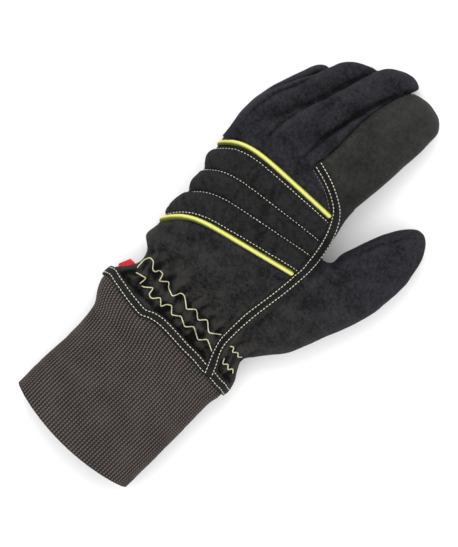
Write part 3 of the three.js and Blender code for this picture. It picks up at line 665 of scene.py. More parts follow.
# %% Cut the skin into its panels
def cut(points, faces):
    """The owner of each quad, and the points moved so that the cuts run smoothly: a point where
    two owners meet slides along the slope of the lead until neither has one."""
    middle = points[faces].mean(1)
    owner = depths(middle).argmax(1)
    opening = row_y(BODY["opening"], points[:, 0])
    outside = middle[:, 1] < opening[faces].mean(1)
    first = np.full(len(points), len(PANEL))
    last = np.full(len(points), -1)
    for corner in range(4):
        np.minimum.at(first, faces[:, corner], owner)
        np.maximum.at(last, faces[:, corner], owner)
    edge = np.flatnonzero(first != last)
    for _ in range(3):
        lead, slope = lead_of(points[edge], first[edge], last[edge], 0.2)
        square = np.maximum((slope ** 2).sum(1), 0.3)
        points[edge] = points[edge] + no_longer(-(lead / square)[:, None] * slope, 0.9 * VOXEL)
    rim = np.intersect1d(faces[outside], faces[~outside])
    points[rim, 1] = opening[rim]
    return points, np.where(outside, -1, owner)


skin, owner = cut(skin, skin_faces)
normals = normals_of(skin, skin_faces)
panel, seam = seam_distance(skin, normals)
for name, number in PANEL.items():
    print(name, (owner == number).sum(), "quads")

# %% [markdown]
# ## Soft valleys, gathers and folds
#
# The relief of worn cloth is added along the normals of the skin. A turned seam is a narrow
# valley with a soft swelling beside it. The elastic at the wrist draws the cloth into short
# folds. The larger dents and creases follow a short list of strokes, which was read from how
# the glove lies, and a calm random relief keeps any surface from looking machined.

# %% Creases
# start x, y, end x, y, width, depth: creases over the fingers, the thumb and the lower back
CREASES = np.array([
    (-52, -14, -38, -8, 5.0, 1.3), (-50, -22, -30, -20, 4.5, 1.1), (-36, -2, -22, -12, 6.0, 1.0),
    (-14, -22, 4, -12, 6.0, 0.8), (14, -6, 24, -22, 5.0, 0.8), (-56, 2, -48, -8, 4.0, 0.8),
    (-62, 98, -52, 103, 3.5, 0.9), (-45, 102, -33, 106, 4.0, 0.8), (-24, 108, -10, 108, 4.5, 0.9),
    (-42, 128, -31, 131, 3.5, 0.8), (-22, 136, -8, 138, 4.0, 0.8), (4, 118, 24, 114, 5.0, 0.9),
    (8, 146, 27, 143, 4.5, 0.7), (46, 20, 66, 34, 6.0, 1.4), (52, 34, 62, 62, 4.5, 1.5),
    (62, 44, 84, 56, 5.0, 1.0), (60, 76, 84, 74, 4.0, 0.9), (44, -4, 62, 6, 6.0, 1.2),
    (40, -24, 56, -14, 5.0, 1.0),
])


def crease_relief(points):
    """Each stroke is a soft valley with a low swelling on both sides, and fades at its ends."""
    relief = np.zeros(len(points))
    for x0, y0, x1, y1, width, deep in CREASES:
        run = np.array([x1 - x0, y1 - y0])
        gone = points[:, :2] - (x0, y0)
        t = gone @ run / (run @ run)
        off = np.abs(run[0] * gone[:, 1] - run[1] * gone[:, 0]) / np.linalg.norm(run)
        along = hump(np.maximum(np.abs(t - 0.5) - 0.35, 0), 0.25)
        relief -= 0.6 * deep * along * hump(off, width)
        relief += 0.3 * deep * along * hump(off - 1.8 * width, width)
    return relief * smoothstep(14, 26, points[:, 2])


print("creases:", len(CREASES))

# %% Grooves
# width, depth, then plan points: narrow folds that run on from the gaps between the fingers, and
# the seam along the upper side of the thumb
GROOVES = [
    (1.1, 1.5, [(-50.6, 143), (-56.7, 122), (-62.3, 109.4), (-65.3, 89), (-64, 77)]),
    (1.1, 1.6, [(-27, 162), (-31.2, 151), (-33.2, 142), (-37.9, 128), (-41.8, 115), (-44.4, 100),
                (-45.4, 86), (-43, 75)]),
    (1.1, 1.6, [(-2, 171), (-7.4, 155), (-10.8, 143), (-14.8, 125), (-17.6, 108), (-18.2, 84)]),
    (1.2, 0.9, [(45, 50), (52, 64), (60, 84), (70, 101), (79, 106)]),
]


def groove_relief(points):
    """Narrow valleys along a few lines, faded out at their ends."""
    relief = np.zeros(len(points))
    for width, deep, line in GROOVES:
        curve = smooth_line(np.array(line, float), 23)
        away = np.abs(left_of(curve, points))
        from_end = np.minimum(*(np.linalg.norm(points[:, :2] - curve[end], axis=1) for end in (0, -1)))
        deep_here = deep * smoothstep(0.5, 14, from_end)
        relief -= deep_here * hump(away, width)
        relief += 0.25 * deep_here * hump(away - 3.2, 1.6)
    return relief * smoothstep(12, 20, points[:, 2])


print("grooves:", len(GROOVES))

# %% Seams, gathers and the whole relief
def seam_relief(distance):
    """A valley 1.2 mm deep at the seam and a swelling about 4 mm beside it."""
    return -1.2 * hump(distance, 1.1) + 0.45 * hump(distance - 4, 2.4)


# y, width and pull of the two elastics
ELASTICS = [(-36.5, 2.0, 1.0), (-47.5, 2.2, 1.3)]
BINDING_EDGE = -53
FOLD_WIDTH = 10.6
FINE_FOLD_WIDTH = 4.7


def gather_relief(points):
    """Short folds across the two elastics: deep at each elastic, gone a little past them."""
    x, y, z = points.T
    back = smoothstep(16, 26, z)
    pull = sum(share * hump(y - line, width) for line, width, share in ELASTICS)
    recess = hump(y - BINDING_EDGE, 2.4)
    bent = x + 1.6 * np.sin(0.33 * y) + 2.2 * np.sin(x / 11)
    fine_folds = np.sin(2 * np.pi * bent / FINE_FOLD_WIDTH + 0.2 * y)
    folds = np.sin(2 * np.pi * bent / FOLD_WIDTH) + 0.45 * fine_folds
    reach = smoothstep(-57, -50, y) * (1 - smoothstep(-35, -20, y))
    return back * (reach * 0.85 * folds - 0.9 * pull - 2.6 * recess)


def beside_strip(points):
    """1 under the leather strip and 0 a few millimetres beside it, on the back of the hand."""
    on_back = (points[:, 2] > 18) & (points[:, 1] < 97)
    return on_back * (1 - smoothstep(3.5, 7.5, np.abs(left_of(lengthened(strip_line), points))))


under_strip = beside_strip(skin)
skin = relaxed(skin, skin_edges, 14, 0.6 * under_strip[:, None])
cloth = np.isin(panel, [PANEL[name] for name in ("lower_back", "finger_back", "thumb_back")])
relief = seam_relief(seam)
relief += crease_relief(skin) * np.where(panel == PANEL["index_finger"], 0.6, 1)
relief += np.where(panel == PANEL["palm"], 0, gather_relief(skin) * (1 - under_strip))
relief += groove_relief(skin)
relief += rumple(skin, 38, 3) * 0.7 + rumple(skin, 15, 4) * np.where(cloth, 0.26, 0.12)
skin = skin + relief[:, None] * normals
skin[:, 2] = np.maximum(skin[:, 2], 0)
normals = normals_of(skin, skin_faces)
# wear and painted shade of the skin: the finishes paint its hollows darker as shade and its ridges paler as
# wear, with less of both towards the fingers
wear = wear_and_shade_of(skin, skin_edges, normals)
wear = 0.5 + (wear - 0.5) * (1 - 0.45 * smoothstep(20, 50, skin[:, 1]))
print("relief from", relief.min().round(2), "to", relief.max().round(2), "mm")

# %% [markdown]
# ## Finishes as expressions
#
# A finish is a small tree of shader nodes. To write one as plain arithmetic, a wrapper holds an
# output socket and overloads the operators, so that a sum of two of them adds a Math node.

# %% A socket that can be added and multiplied
def operator(operation):
    """A method for a Math node with this operation. Its inputs are the wire and what follows it."""
    return lambda wire, *others: wire.math(operation, wire, *others)


class Wire:
    """A number that varies over the surface: one output socket of a material's nodes."""

    def __init__(self, finish, socket):
        self.finish = finish
        self.socket = socket

    def math(self, operation, *values, clamp=False):
        inputs = dict(enumerate(values))
        return self.finish.node("Math", {"operation": operation, "use_clamp": clamp}, inputs)

    def __rsub__(self, other):
        return self.math("SUBTRACT", other, self)

    def clamped(self):
        return self.math("ADD", self, 0.0, clamp=True)

    __add__ = __radd__ = operator("ADD")
    __mul__ = __rmul__ = operator("MULTIPLY")
    __sub__ = operator("SUBTRACT")
    __truediv__ = operator("DIVIDE")
    __pow__ = operator("POWER")
    __abs__ = operator("ABSOLUTE")
    fraction = operator("FRACT")


print("Wire ready")

# %% A material under construction
def rgb(*channels):
    """A colour as Blender counts it, from the usual 0 to 255."""
    return tuple(v / 255 / 12.92 if v < 10.4 else ((v / 255 + 0.055) / 1.055) ** 2.4 for v in channels)


class Finish:
    """A material under construction: its node tree and its Principled shader."""

    def __init__(self, name):
        self.material = bpy.data.materials.new(name)
        self.material.use_nodes = True
        self.tree = self.material.node_tree
        self.shader = self.tree.nodes["Principled BSDF"]

    def feed(self, socket, value):
        """Links a wire to an input socket, or sets a plain value on it."""
        if isinstance(value, Wire):
            self.tree.links.new(value.socket, socket)
        elif hasattr(socket.default_value, "__len__") and len(value) < len(socket.default_value):
            socket.default_value = (*value, 1)
        else:
            socket.default_value = value

    def node(self, kind, settings, inputs, out=0):
        """Adds a node: its type, its settings, and the values or wires of its inputs."""
        node = self.tree.nodes.new("ShaderNode" + kind)
        for key, value in settings.items():
            setattr(node, key, value)
        for key, value in inputs.items():
            self.feed(node.inputs[key], value)
        return Wire(self, node.outputs[out])

    def place(self):
        """Object coordinates in millimetres."""
        metres = self.node("TexCoord", {}, {}, "Object")
        return self.node("VectorMath", {"operation": "SCALE"}, {0: metres, "Scale": 1000.0})

    def axis(self, at, name):
        """One coordinate of a place."""
        return self.node("SeparateXYZ", {}, {0: at}, name)

    def lay(self, name):
        """One coordinate of the UV map."""
        return self.axis(self.node("UVMap", {"uv_map": "lay"}, {}), name)

    def wear(self):
        """The wear and painted shade attribute of the piece: 0 in hollows, which are painted dark as
        shade, and 1 on ridges, which are paler with wear.
        """
        return self.node("Attribute", {"attribute_name": "wear"}, {}, "Fac")

    def noise(self, at, size, detail, rough):
        """Noise between 0 and 1 whose blotches are about size millimetres wide."""
        inputs = {"Vector": at, "Scale": 1.0 / size, "Detail": detail, "Roughness": rough}
        return self.node("TexNoise", {}, inputs)

    def wave(self, at, way, scale, bent):
        """Bands between 0 and 1 that follow each other one way."""
        inputs = {"Vector": at, "Scale": scale, "Distortion": bent}
        return self.node("TexWave", {"bands_direction": way}, inputs)

    def blend(self, share, *colours):
        """From one colour to another. Each is a wire, or red, green and blue from 0 to 255."""
        one, other = (colour if isinstance(colour, Wire) else rgb(*colour) for colour in colours)
        settings = {"data_type": "RGBA", "clamp_factor": True}
        return self.node("Mix", settings, {0: share, 6: one, 7: other}, 2)

    def bump(self, height, reach):
        """A relief: the height runs from 0 to 1 and stands for reach millimetres."""
        inputs = {"Height": height, "Distance": reach / 1000, "Strength": 1.0}
        self.feed(self.shader.inputs["Normal"], self.node("Bump", {}, inputs))

    def set(self, **values):
        """Values or wires for the shader's own sockets; an underscore stands for a space."""
        for key, value in values.items():
            self.feed(self.shader.inputs[key.replace("_", " ")], value)
        return self.material


print("red as Blender counts it:", [round(v, 3) for v in rgb(178, 22, 28)])

# %% [markdown]
# ## Cloth, leather and thread
#
# Flame-proof cloth is dull and a little fuzzy: blotches a few millimetres wide, a fine weave and
# a faint sheen. Leather has a grain of small cells with creases between them and is smoother on
# top of the cells. Both are nearly black, so their relief does more than their colour.

# %% Cloth finishes
def cloth_finish(name, dark, light, handled, cloudy, nap, weave):
    """Blotched colour, a nap of soft noise and a fine plain weave. Hollows are painted darker as
    shade, ridges are paler with wear, and the cloth is browner towards the wrist, where it is handled."""
    finish = Finish(name)
    at = finish.place()
    blotch = finish.noise(at, 2.6, 4.0, 0.75)
    cloud = finish.noise(at, 13.0, 3.0, 0.55)
    fibre = finish.noise(at, 0.8, 3.0, 0.7)
    wear = finish.wear() - 0.5
    # painted shade: the wear and shade term darkens the hollows, and it pales the ridges as wear
    share = (blotch - 0.5) * 2.4 + (cloud - 0.5) * cloudy + (fibre - 0.5) * 1.6 + wear * 1.5 + 0.5
    to_wrist = ((60 - finish.axis(at, "Y")) / 100.0).clamped()
    pale = finish.blend(to_wrist, light, handled)
    threads = finish.wave(at, "X", 0.45, 1.5) * finish.wave(at, "Y", 0.45, 1.5)
    finish.bump(blotch * nap + fibre * 0.35 + threads * weave, 0.7)
    return finish.set(
        Base_Color=finish.blend(share.clamped(), dark, pale), Roughness=0.82 + 0.15 * blotch,
        Sheen_Weight=0.03, Sheen_Roughness=0.5, Sheen_Tint=rgb(150, 150, 165), Specular_IOR_Level=0.12,
    )


back_cloth = cloth_finish("back_cloth", (7, 7, 9), (41, 40, 45), (46, 45, 42), 1.4, 1.2, 0.25)
pad_cloth = cloth_finish("pad_cloth", (12, 12, 12), (36, 36, 37), (36, 36, 35), 0.7, 0.6, 0.35)
print("finishes:", back_cloth.name, pad_cloth.name)

# %% Leather finishes
def leather_finish(name, dark, light, grain, rough):
    """A grain of cells about a millimetre wide with creases between them, a little paler and
    smoother where the leather is rubbed and towards the fingertips, and painted darker in its
    hollows as shade."""
    finish = Finish(name)
    at = finish.place()
    tip = ((finish.axis(at, "Y") - 70.0) / 220.0).clamped()
    warp = finish.node("TexNoise", {}, {"Vector": at, "Scale": 0.7, "Detail": 2.0}, "Color")
    bent = finish.node("VectorMath", {"operation": "ADD"}, {0: at, 1: warp})
    cells = finish.node("TexVoronoi", {"feature": "DISTANCE_TO_EDGE"}, {"Vector": bent, "Scale": 1 / grain})
    crease = (1 - cells * 5.0).clamped()
    worn = finish.noise(at, 16.0, 3.0, 0.6)
    suede = finish.noise(at, 3.0, 4.0, 0.7)
    # painted shade: darker in the hollows of the skin, and paler wear on its ridges
    ridge_wear_and_shade = (finish.wear() - 0.5) * 1.2
    share = (worn - 0.5) * 1.6 + (suede - 0.5) * 1.8 - crease * 0.25 + tip + ridge_wear_and_shade + 0.35
    fine = finish.noise(at, 0.8, 3.0, 0.6)
    finish.bump(1 - crease * 0.8 + fine * 0.5 + worn * 0.4, 0.35)
    return finish.set(
        Base_Color=finish.blend(share.clamped(), dark, light),
        Roughness=rough + 0.16 * crease - 0.12 * worn, Specular_IOR_Level=0.2,
    )


leather = leather_finish("leather", (10, 10, 9), (39, 39, 36), 1.5, 0.7)
trim_leather = leather_finish("trim_leather", (7, 7, 6), (27, 26, 24), 1.2, 0.65)
print("finishes:", leather.name, trim_leather.name)

# %% The panels as pieces
def panel_piece(name, finish, slot):
    """The quads of one panel as a piece of cloth or leather with a wall."""
    used, faces = np.unique(skin_faces[owner == PANEL[name]], return_inverse=True)
    piece = new_object(name + "_skin", skin[used], faces.reshape(-1, 4))
    set_wear_and_shade(piece, wear[used])
    walled(piece)
    dress(piece, finish, slot, name)
    print(piece.name, len(used), "points")


for name in ("lower_back", "finger_back", "thumb_back"):
    panel_piece(name, back_cloth, "back_cloth")
for name in ("index_finger", "thumb_front", "palm"):
    panel_piece(name, leather, "leather")

# %% [markdown]
# ## The knuckle pad
#
# Over the knuckles lies a padded piece with three channels. It is sewn down along the two
# pipings and along two lines of quilting, and the filling lifts the cloth between them. The
# cloth is let out a little and blown up in a cloth simulation while the sewn lines are held,
# which gives the puckers that a formula would not. Small pieces simulate badly, so it is done
# ten times as large and then shrunk.

# %% The pad's grid, from the strip to the side seam
PAD_ROWS = 81
PAD_COLUMNS = 145
SEWN = (0.0, 0.06, 0.365, 0.635, 0.94, 1.0)
PAD_FROM, PAD_TO = BODY["low_piping"][0], BODY["up_piping"][0]
FROM_STRIP = 0.6
UNDER_SEAM = 0.15


def pad_grid(puffed):
    """Rows of the body from piping to piping, each cut from the strip to the side seam and
    divided evenly along its turn."""
    rows = smooth_rows(BODY_ROWS, PAD_FROM + (PAD_TO - PAD_FROM) * np.linspace(0.012, 0.988, PAD_ROWS))
    if not puffed:
        rows[:, 7] = 0
    turns = np.linspace(0.05, 1.25 * np.pi, 500)
    grid = []
    for ring in body_rings(rows, turns):
        inside = left_of(edge_line, ring)
        over = ring[:, 2] - seam_height(ring[:, 1])
        first = np.interp(FROM_STRIP, inside[:250], turns[:250])
        last = np.interp(-UNDER_SEAM, -over[250:], turns[250:])
        grid.append(between(np.linspace(first, last, PAD_COLUMNS), turns, ring))
    return np.array(grid)


flat_pad = pad_grid(False)
full_pad = pad_grid(True)
pad_faces = grid_faces(flat_pad, closed_columns=False, flip=False)
sewn_rows = [round(share * (PAD_ROWS - 1)) for share in SEWN]
print("pad:", flat_pad.shape, "sewn rows:", sewn_rows)

# %% Blow the pad up
LARGER = 10
FRAMES = 20
MOST_LIFT = 3.2
SEWN_ENDS = [0, 1, -2, -1]
# a negative shrink lets the cloth out, to 6 % more than its place
CLOTH = {
    "quality": 6, "mass": 0.3, "tension_stiffness": 25, "compression_stiffness": 25,
    "shear_stiffness": 8, "bending_stiffness": 1.5, "air_damping": 4, "use_pressure": True,
    "uniform_pressure_force": 5.0, "shrink_min": -0.06, "vertex_group_mass": "held",
}


def blown(points, faces, held):
    """Cloth held at some points and pushed out from inside. No point moves more than MOST_LIFT."""
    large = new_object("pad_cloth", points * LARGER, faces)
    large.vertex_groups.new(name="held").add(np.flatnonzero(held).tolist(), 1.0, "REPLACE")
    sim = large.modifiers.new("cloth", "CLOTH")
    for key, value in CLOTH.items():
        setattr(sim.settings, key, value)
    sim.settings.effector_weights.gravity = 0
    sim.point_cache.frame_start = 1
    sim.point_cache.frame_end = FRAMES
    for frame_number in range(1, FRAMES + 1):
        bpy.context.scene.frame_set(frame_number)
    moved = used_up(large)[0] / LARGER
    bpy.context.scene.frame_set(1)
    return points + no_longer(moved - points, MOST_LIFT)


held = np.zeros((PAD_ROWS, PAD_COLUMNS), bool)
held[sewn_rows] = True
held[:, SEWN_ENDS] = True
start = 0.4 * flat_pad + 0.6 * full_pad
start[:, SEWN_ENDS] = full_pad[:, SEWN_ENDS]
pad = blown(start.reshape(-1, 3), pad_faces, held)
lift = np.linalg.norm(pad - flat_pad.reshape(-1, 3), axis=1)
print("pad lifted by up to", lift.max().round(2), "mm, mean", lift.mean().round(2), "mm")

# %% The pad as a piece
pad_normals = normals_of(pad, pad_faces)
share = np.abs(np.linspace(0, 1, PAD_ROWS)[:, None] - SEWN).min(1)
from_sewn = share * (PAD_TO - PAD_FROM) * HAND_LENGTH
valley = np.repeat(-0.8 * hump(from_sewn, 0.9), PAD_COLUMNS)
pad = pad + (valley + 0.12 * rumple(pad, 13, 9))[:, None] * pad_normals
pad_piece = new_object("knuckle_pad_cloth", pad, pad_faces)
pad_edges = arrays(pad_piece.data)[2]
# the pad's hollows are painted a little darker as shade, and its ridges a little paler as wear
set_wear_and_shade(pad_piece, 0.5 + 0.45 * (wear_and_shade_of(pad, pad_edges, pad_normals) - 0.5))
walled(pad_piece)
finer = pad_piece.modifiers.new("finer", "SUBSURF")
finer.levels = 1
finer.render_levels = 1
dress(pad_piece, pad_cloth, "pad_cloth", "knuckle_pad")
print("pad piece:", len(pad_piece.data.polygons), "quads before its wall")

# %% [markdown]
# ## Pipings, strip and binding
#
# A piping is a cord wrapped in a narrow band of bright cloth and caught in the seam, so it is a
# round section carried along the seam. The strip and the binding are flat bands with turned
# edges: a low crowned section carried along a line on the skin.

# %% Sections carried along a path
def tube(path, up, radius, around, relief):
    """A round section carried along a path, with both ends drawn in to a dome. The relief is a
    share of the radius, for a way gone along the path and a turn round it."""
    run = tangents(path)
    side = unit(np.cross(run, up))
    top = np.cross(side, run)
    turn = full_turn(around)
    gone = gone_along(path)
    end = np.minimum(gone, gone[-1] - gone)
    share = np.sqrt(np.clip(1 - (1 - np.clip(end / radius, 0, 1)) ** 2, 0, 1))
    thick = radius * share[:, None] * (1 + relief(gone[:, None], turn[None]))
    ring = np.cos(turn)[:, None] * side[:, None] + np.sin(turn)[:, None] * top[:, None]
    return path[:, None] + thick[..., None] * ring


print("sections ready")

# %% The two lime pipings
PIPING_STEP = 0.6
ABOVE_SEAM = 3.4
SINKS_OVER = 9
SINKS_BY = 2


def piping_path(name):
    """Along a row of the body, from the strip to the side seam, a little outside the skin. Its last
    few millimetres sink into the seam."""
    row = np.array(BODY[name])[None]
    ring = body_rings(row, np.linspace(0.05, np.pi, 600), PIPING_RADIUS / 3)[0]
    clear = left_of(edge_line, ring) > STRIP_WIDTH / 2 - 0.4
    high = ring[:, 2] > seam_height(ring[:, 1]) + ABOVE_SEAM
    path = resampled(ring[clear & high], PIPING_STEP)
    to_end = np.linalg.norm(path - path[-1], axis=1)
    path[:, 0] += SINKS_BY * (1 - smoothstep(0, SINKS_OVER, to_end))
    return path


def wrapped(gone, turn):
    """Small slanting creases in the cloth that wraps the cord."""
    return 0.03 * np.sin(1.9 * gone + 1.2 * turn + np.sin(0.7 * gone)) + 0.02 * np.sin(0.31 * gone)


lime = Finish("piping_cloth")
at = lime.place()
rub = lime.noise(at, 4.0, 3.0, 0.6)
drawn_out = lime.node("VectorMath", {"operation": "MULTIPLY"}, {0: at, 1: (0.25, 2.2, 1.0)})
thread_lines = lime.noise(drawn_out, 0.6, 2.0, 0.5)
# painted shade: the cord is dark olive on its sides, where it sinks into the seam, and pale yellow on top,
# as light and shade fall on it; rubbed patches vary it a little
from_top = abs(lime.lay("X") - 0.25)
side_shade_and_rub = (1.3 - from_top * 8 + (rub - 0.5) * 0.4).clamped()
lime.bump(thread_lines * 0.7 + rub * 0.5, 0.25)
lime.set(
    Base_Color=lime.blend(side_shade_and_rub, (78, 84, 10), (200, 198, 108)),
    Roughness=0.6 + 0.2 * rub, Specular_IOR_Level=0.25,
)

for name, node in (("low_piping", "piping_lower"), ("up_piping", "piping_upper")):
    path = piping_path(name)
    centre = np.array([path[:, 0].mean() * 0.4, 0, 12])
    cord = tube(path, unit((path - centre) * (1, 0, 1)), PIPING_RADIUS, 16, wrapped)
    piece = new_object(node + "_cord", cord, grid_faces(cord))
    set_uv(piece, np.arange(len(cord)) * PIPING_STEP, np.linspace(0, 1, cord.shape[1] + 1))
    dress(piece, lime.material, "piping", node)
    print(node, "length", round(gone_along(path)[-1]), "mm")

# %% The binding round the wrist
# along the arm, height
BINDING_SECTION = np.array([
    (-3.6, -0.3), (-3.8, 0.2), (-3.6, 0.7), (-3.0, 0.95), (-2.3, 0.75), (-1.4, 1.0), (0, 1.1),
    (1.4, 1.0), (2.3, 0.75), (3.0, 0.95), (3.6, 0.7), (3.8, 0.2), (3.6, -0.3), (1.8, -0.4), (-1.8, -0.4),
])
# across, how far the binding lies towards the fingers from its place
BINDING_BENDS = np.array([
    (-64, 0), (-55, 2.6), (-44, 0.6), (-37, -0.2), (-28, -1.6), (-21, -1.6), (-16, 0.9), (-9, 2.4),
    (3, 2.4), (20, 2.0), (36, 1.3), (50, 0.8), (57, 0), (64, -1.5),
])


def binding_grid():
    """The opening's ring grown by the section's height and moved along by its width. The gathers
    beside it bend it on the back of the hand."""
    turns = full_turn(360)
    rings = []
    for along, height in BINDING_SECTION:
        row = np.array(BODY["opening"])
        row[0] += along / HAND_LENGTH
        row[8] = 0
        ring = body_rings(row[None], turns, 0.2 + height)[0]
        bend = smooth_rows(BINDING_BENDS, ring[:, 0])[:, 1]
        ring[:, 1] += (bend + 0.2 * np.sin(17 * turns)) * smoothstep(-0.1, 0.3, np.sin(turns))
        rings.append(ring)
    return np.array(rings)


binding = binding_grid()
binding_faces = grid_faces(binding, closed_rows=True, flip=False)
binding_piece = new_object("wrist_binding_leather", binding, binding_faces)
set_wear_and_shade(binding_piece, np.full(binding[..., 0].size, 0.5))
dress(binding_piece, trim_leather, "trim_leather", "wrist_binding")
print("binding grid:", binding.shape)

# %% The skin as something to lay things on
panels = (skin, skin_faces[owner != PANEL["knuckle_pad"]])
hull_points, hull_faces = joined([panels, (pad, pad_faces), (binding, binding_faces)])
hull = BVHTree.FromPolygons(hull_points.tolist(), hull_faces.tolist())


def laid(plan):
    """The skin under each point of the plan, looked for from above, and its normal there."""
    down = Vector((0, 0, -1))
    hits = [hull.ray_cast(Vector((x, y, 120)), down) for x, y in plan]
    where = np.array([hit[0] or (0, 0, 0) for hit in hits])
    facing = np.array([hit[1] or (0, 0, 1) for hit in hits])
    return where, np.where(facing[:, 2:] < 0, -facing, facing)


def moved_line(line, offset):
    """The line moved to its left."""
    run = tangents(line)
    return line + offset * np.c_[-run[:, 1], run[:, 0]]


print("the hull has", len(hull_faces), "quads")

# %% The leather strip
# across, height, up to the middle
HALF_STRIP = np.array([(-3.5, 0.05), (-3.42, 0.7), (-3.1, 1.25), (-2.4, 1.35), (-1.9, 1.15), (-1.2, 1.45)])
STRIP_SECTION = np.concatenate([HALF_STRIP, [(0, 1.6)], HALF_STRIP[::-1] * (-1, 1)])
STRIP_START = -61.5
STEEPEST = 1.3
strip_plan = resampled(strip_line, 0.9)
strip_plan = strip_plan[strip_plan[:, 1] > STRIP_START]


def smoothed_along(grid, times):
    """Evens a grid out along its rows, so that a band bridges small hollows."""
    for _ in range(times):
        inner = (grid[:-2] + grid[2:]) / 2
        grid = np.concatenate([grid[:1], (grid[1:-1] + inner) / 2, grid[-1:]])
    return grid


def band(plan, section):
    """A section of (across, height) pairs laid on the skin along a line of the plan. Beside the
    middle it drops no more than so many times the distance, as stiff leather bridges a steep side."""
    columns = [laid(moved_line(plan, across)) for across in section[:, 0]]
    base = np.stack([where for where, _ in columns], 1)
    lowest = base[:, len(section) // 2, 2][:, None] - STEEPEST * np.abs(section[:, 0])
    base[..., 2] = np.maximum(base[..., 2], lowest)
    base = smoothed_along(base, 8)
    facing = unit(smoothed_along(np.stack([normal for _, normal in columns], 1), 14))
    return base, facing, base + facing * section[None, :, 1:]


strip_base, strip_facing, strip_top = band(strip_plan, STRIP_SECTION)
strip_under = strip_base[:, ::-1] - strip_facing[:, ::-1] * 0.3
strip_ring = closed(np.concatenate([strip_top, strip_under], 1))
# wear and painted shade of the strip: paler on its raised middle, and painted darker as shade at its low
# edges and on its underside
strip_wear_and_shade = np.r_[0.5 + 0.12 * (STRIP_SECTION[:, 1] - 1), np.full(len(STRIP_SECTION), 0.4)]
strip_piece = new_object("side_strip_leather", strip_ring, grid_faces(strip_ring))
set_wear_and_shade(strip_piece, np.tile(strip_wear_and_shade, len(strip_ring)))
dress(strip_piece, trim_leather, "trim_leather", "side_strip")
print("strip grid:", strip_ring.shape)

# %% [markdown]
# ## The ribbed wristlet
#
# The wristlet is knitted in ribs that run along the arm. Each rib is a column of V-shaped
# stitches, and the valleys between ribs are dark because little light gets in. The ribs are in
# the mesh, and the stitches are drawn by the finish on a UV map that counts ribs and stitches.
# The finish also paints that shade into the valleys and into the gaps between the stitch legs.

# %% The wristlet's grid
PER_RIB = 6
STITCH = 1.9
KNIT_WALL = 2.3


def knit_rings(rows, grow):
    """Plain rings of the body at even steps of length, with the free edge bowed out."""
    full = np.zeros((len(rows), 9))
    full[:, :6] = rows[:, :6]
    rings = body_rings(full, np.linspace(0, 2 * np.pi, 721), grow)
    out = []
    for ring, row in zip(rings, rows):
        gone = gone_along(ring)
        even = between(gone[-1] * np.arange(RIBS * PER_RIB) / (RIBS * PER_RIB), gone, ring)
        middle, reach = across_x((row[1] + row[2]) / 2), across_x((row[2] - row[1]) / 2)
        side = np.clip(np.abs(even[:, 0] - middle) / reach, 0, 1)
        even[:, 1] -= row[6] * HAND_WIDTH * (1 - side ** 2)
        out.append(even)
    return np.array(out)


cuff_rows = smooth_rows(CUFF, np.linspace(CUFF[-1, 0], CUFF[0, 0], 66))
outer = knit_rings(cuff_rows, 0)
rib_count = np.arange(RIBS * PER_RIB + 1) / PER_RIB
bulge = 0.5 + 0.5 * np.cos(2 * np.pi * (rib_count[:-1] - 0.5))
profile = -1.0 + 1.1 * np.sqrt(np.clip(bulge, 0, 1))
outer_normals = normals_of(outer.reshape(-1, 3), grid_faces(outer)).reshape(outer.shape)
fuzz = 0.1 * rumple(outer.reshape(-1, 3), 9, 21).reshape(outer.shape[:2])
outer = outer + outer_normals * (profile[None] + fuzz)[..., None]
inner = knit_rings(cuff_rows[::-3], -KNIT_WALL)
hem = (outer[-1] + inner[0]) / 2 + np.array([0, -0.6, 0])
cuff = np.concatenate([outer, hem[None], inner])
cuff[..., 2] = np.maximum(cuff[..., 2], 0)
print("wristlet grid:", cuff.shape, "from", cuff.min((0, 1)).round(1), "to", cuff.max((0, 1)).round(1))

# %% The wristlet's finish
knit = Finish("rib_knit")
from_middle = abs(knit.lay("X").fraction() - 0.5)
stitch = 1 - 2 * abs((knit.lay("Y") + from_middle * 1.1).fraction() - 0.5)
# painted shade: the colour falls from the top of each rib to near black in the valley between ribs, and the
# gaps between stitch legs are darker too; the same shapes drive the bump
rib_mound_and_shade = (1 - (from_middle * 2) ** 2.2).clamped()
stitch_legs_and_shade = (0.2 + 0.8 * (stitch * 1.7).clamped()) * rib_mound_and_shade
at = knit.place()
heather = knit.noise(at, 0.5, 3.0, 0.7)
patch = knit.noise(at, 14.0, 2.0, 0.5)
# the knit's colour: painted shade of the valleys and stitch gaps, with heathered and patchy yarn
shade = stitch_legs_and_shade * 1.15 + (heather - 0.5) * 1.2 + (patch - 0.5) * 0.5 - 0.14
knit.bump(stitch_legs_and_shade + heather * 0.3, 0.8)
knit.set(
    Base_Color=knit.blend(shade.clamped(), (7, 5, 5), (93, 84, 80)), Roughness=0.9,
    Specular_IOR_Level=0.1, Sheen_Weight=0.05, Sheen_Roughness=0.6,
)

cuff_piece = new_object("knit_cuff_ribs", cuff, grid_faces(cuff, closed_rows=True))
cuff_steps = np.linalg.norm(np.diff(cuff, axis=0, append=cuff[:1]), axis=2).mean(1)
set_uv(cuff_piece, np.r_[0, np.cumsum(cuff_steps)] / STITCH, rib_count)
dress(cuff_piece, knit.material, "knit", "knit_cuff")
print("wristlet:", len(cuff_piece.data.polygons), "quads")

# %% [markdown]
# ## Tab and threads
#
# A small folded ribbon stands out of the side seam. Then every visible seam gets its thread. A
# lockstitch shows as a row of short bars that dive into the cloth at both ends, so one small bar
# is made and repeated along the line. The wrist elastic is sewn with a thick cream zigzag, which
# is a thread carried along a zigzag on the skin.

# %% The red tab
# share of the way from the middle to the rim, height
TAB_SECTION = [
    (0.0, 0), (0.5, 0.1), (0.93, 0.1), (0.99, 0.35), (1.0, 0.7), (0.99, 1.05), (0.93, 1.3),
    (0.75, 1.2), (0.5, 1.3), (0.0, 1.35),
]


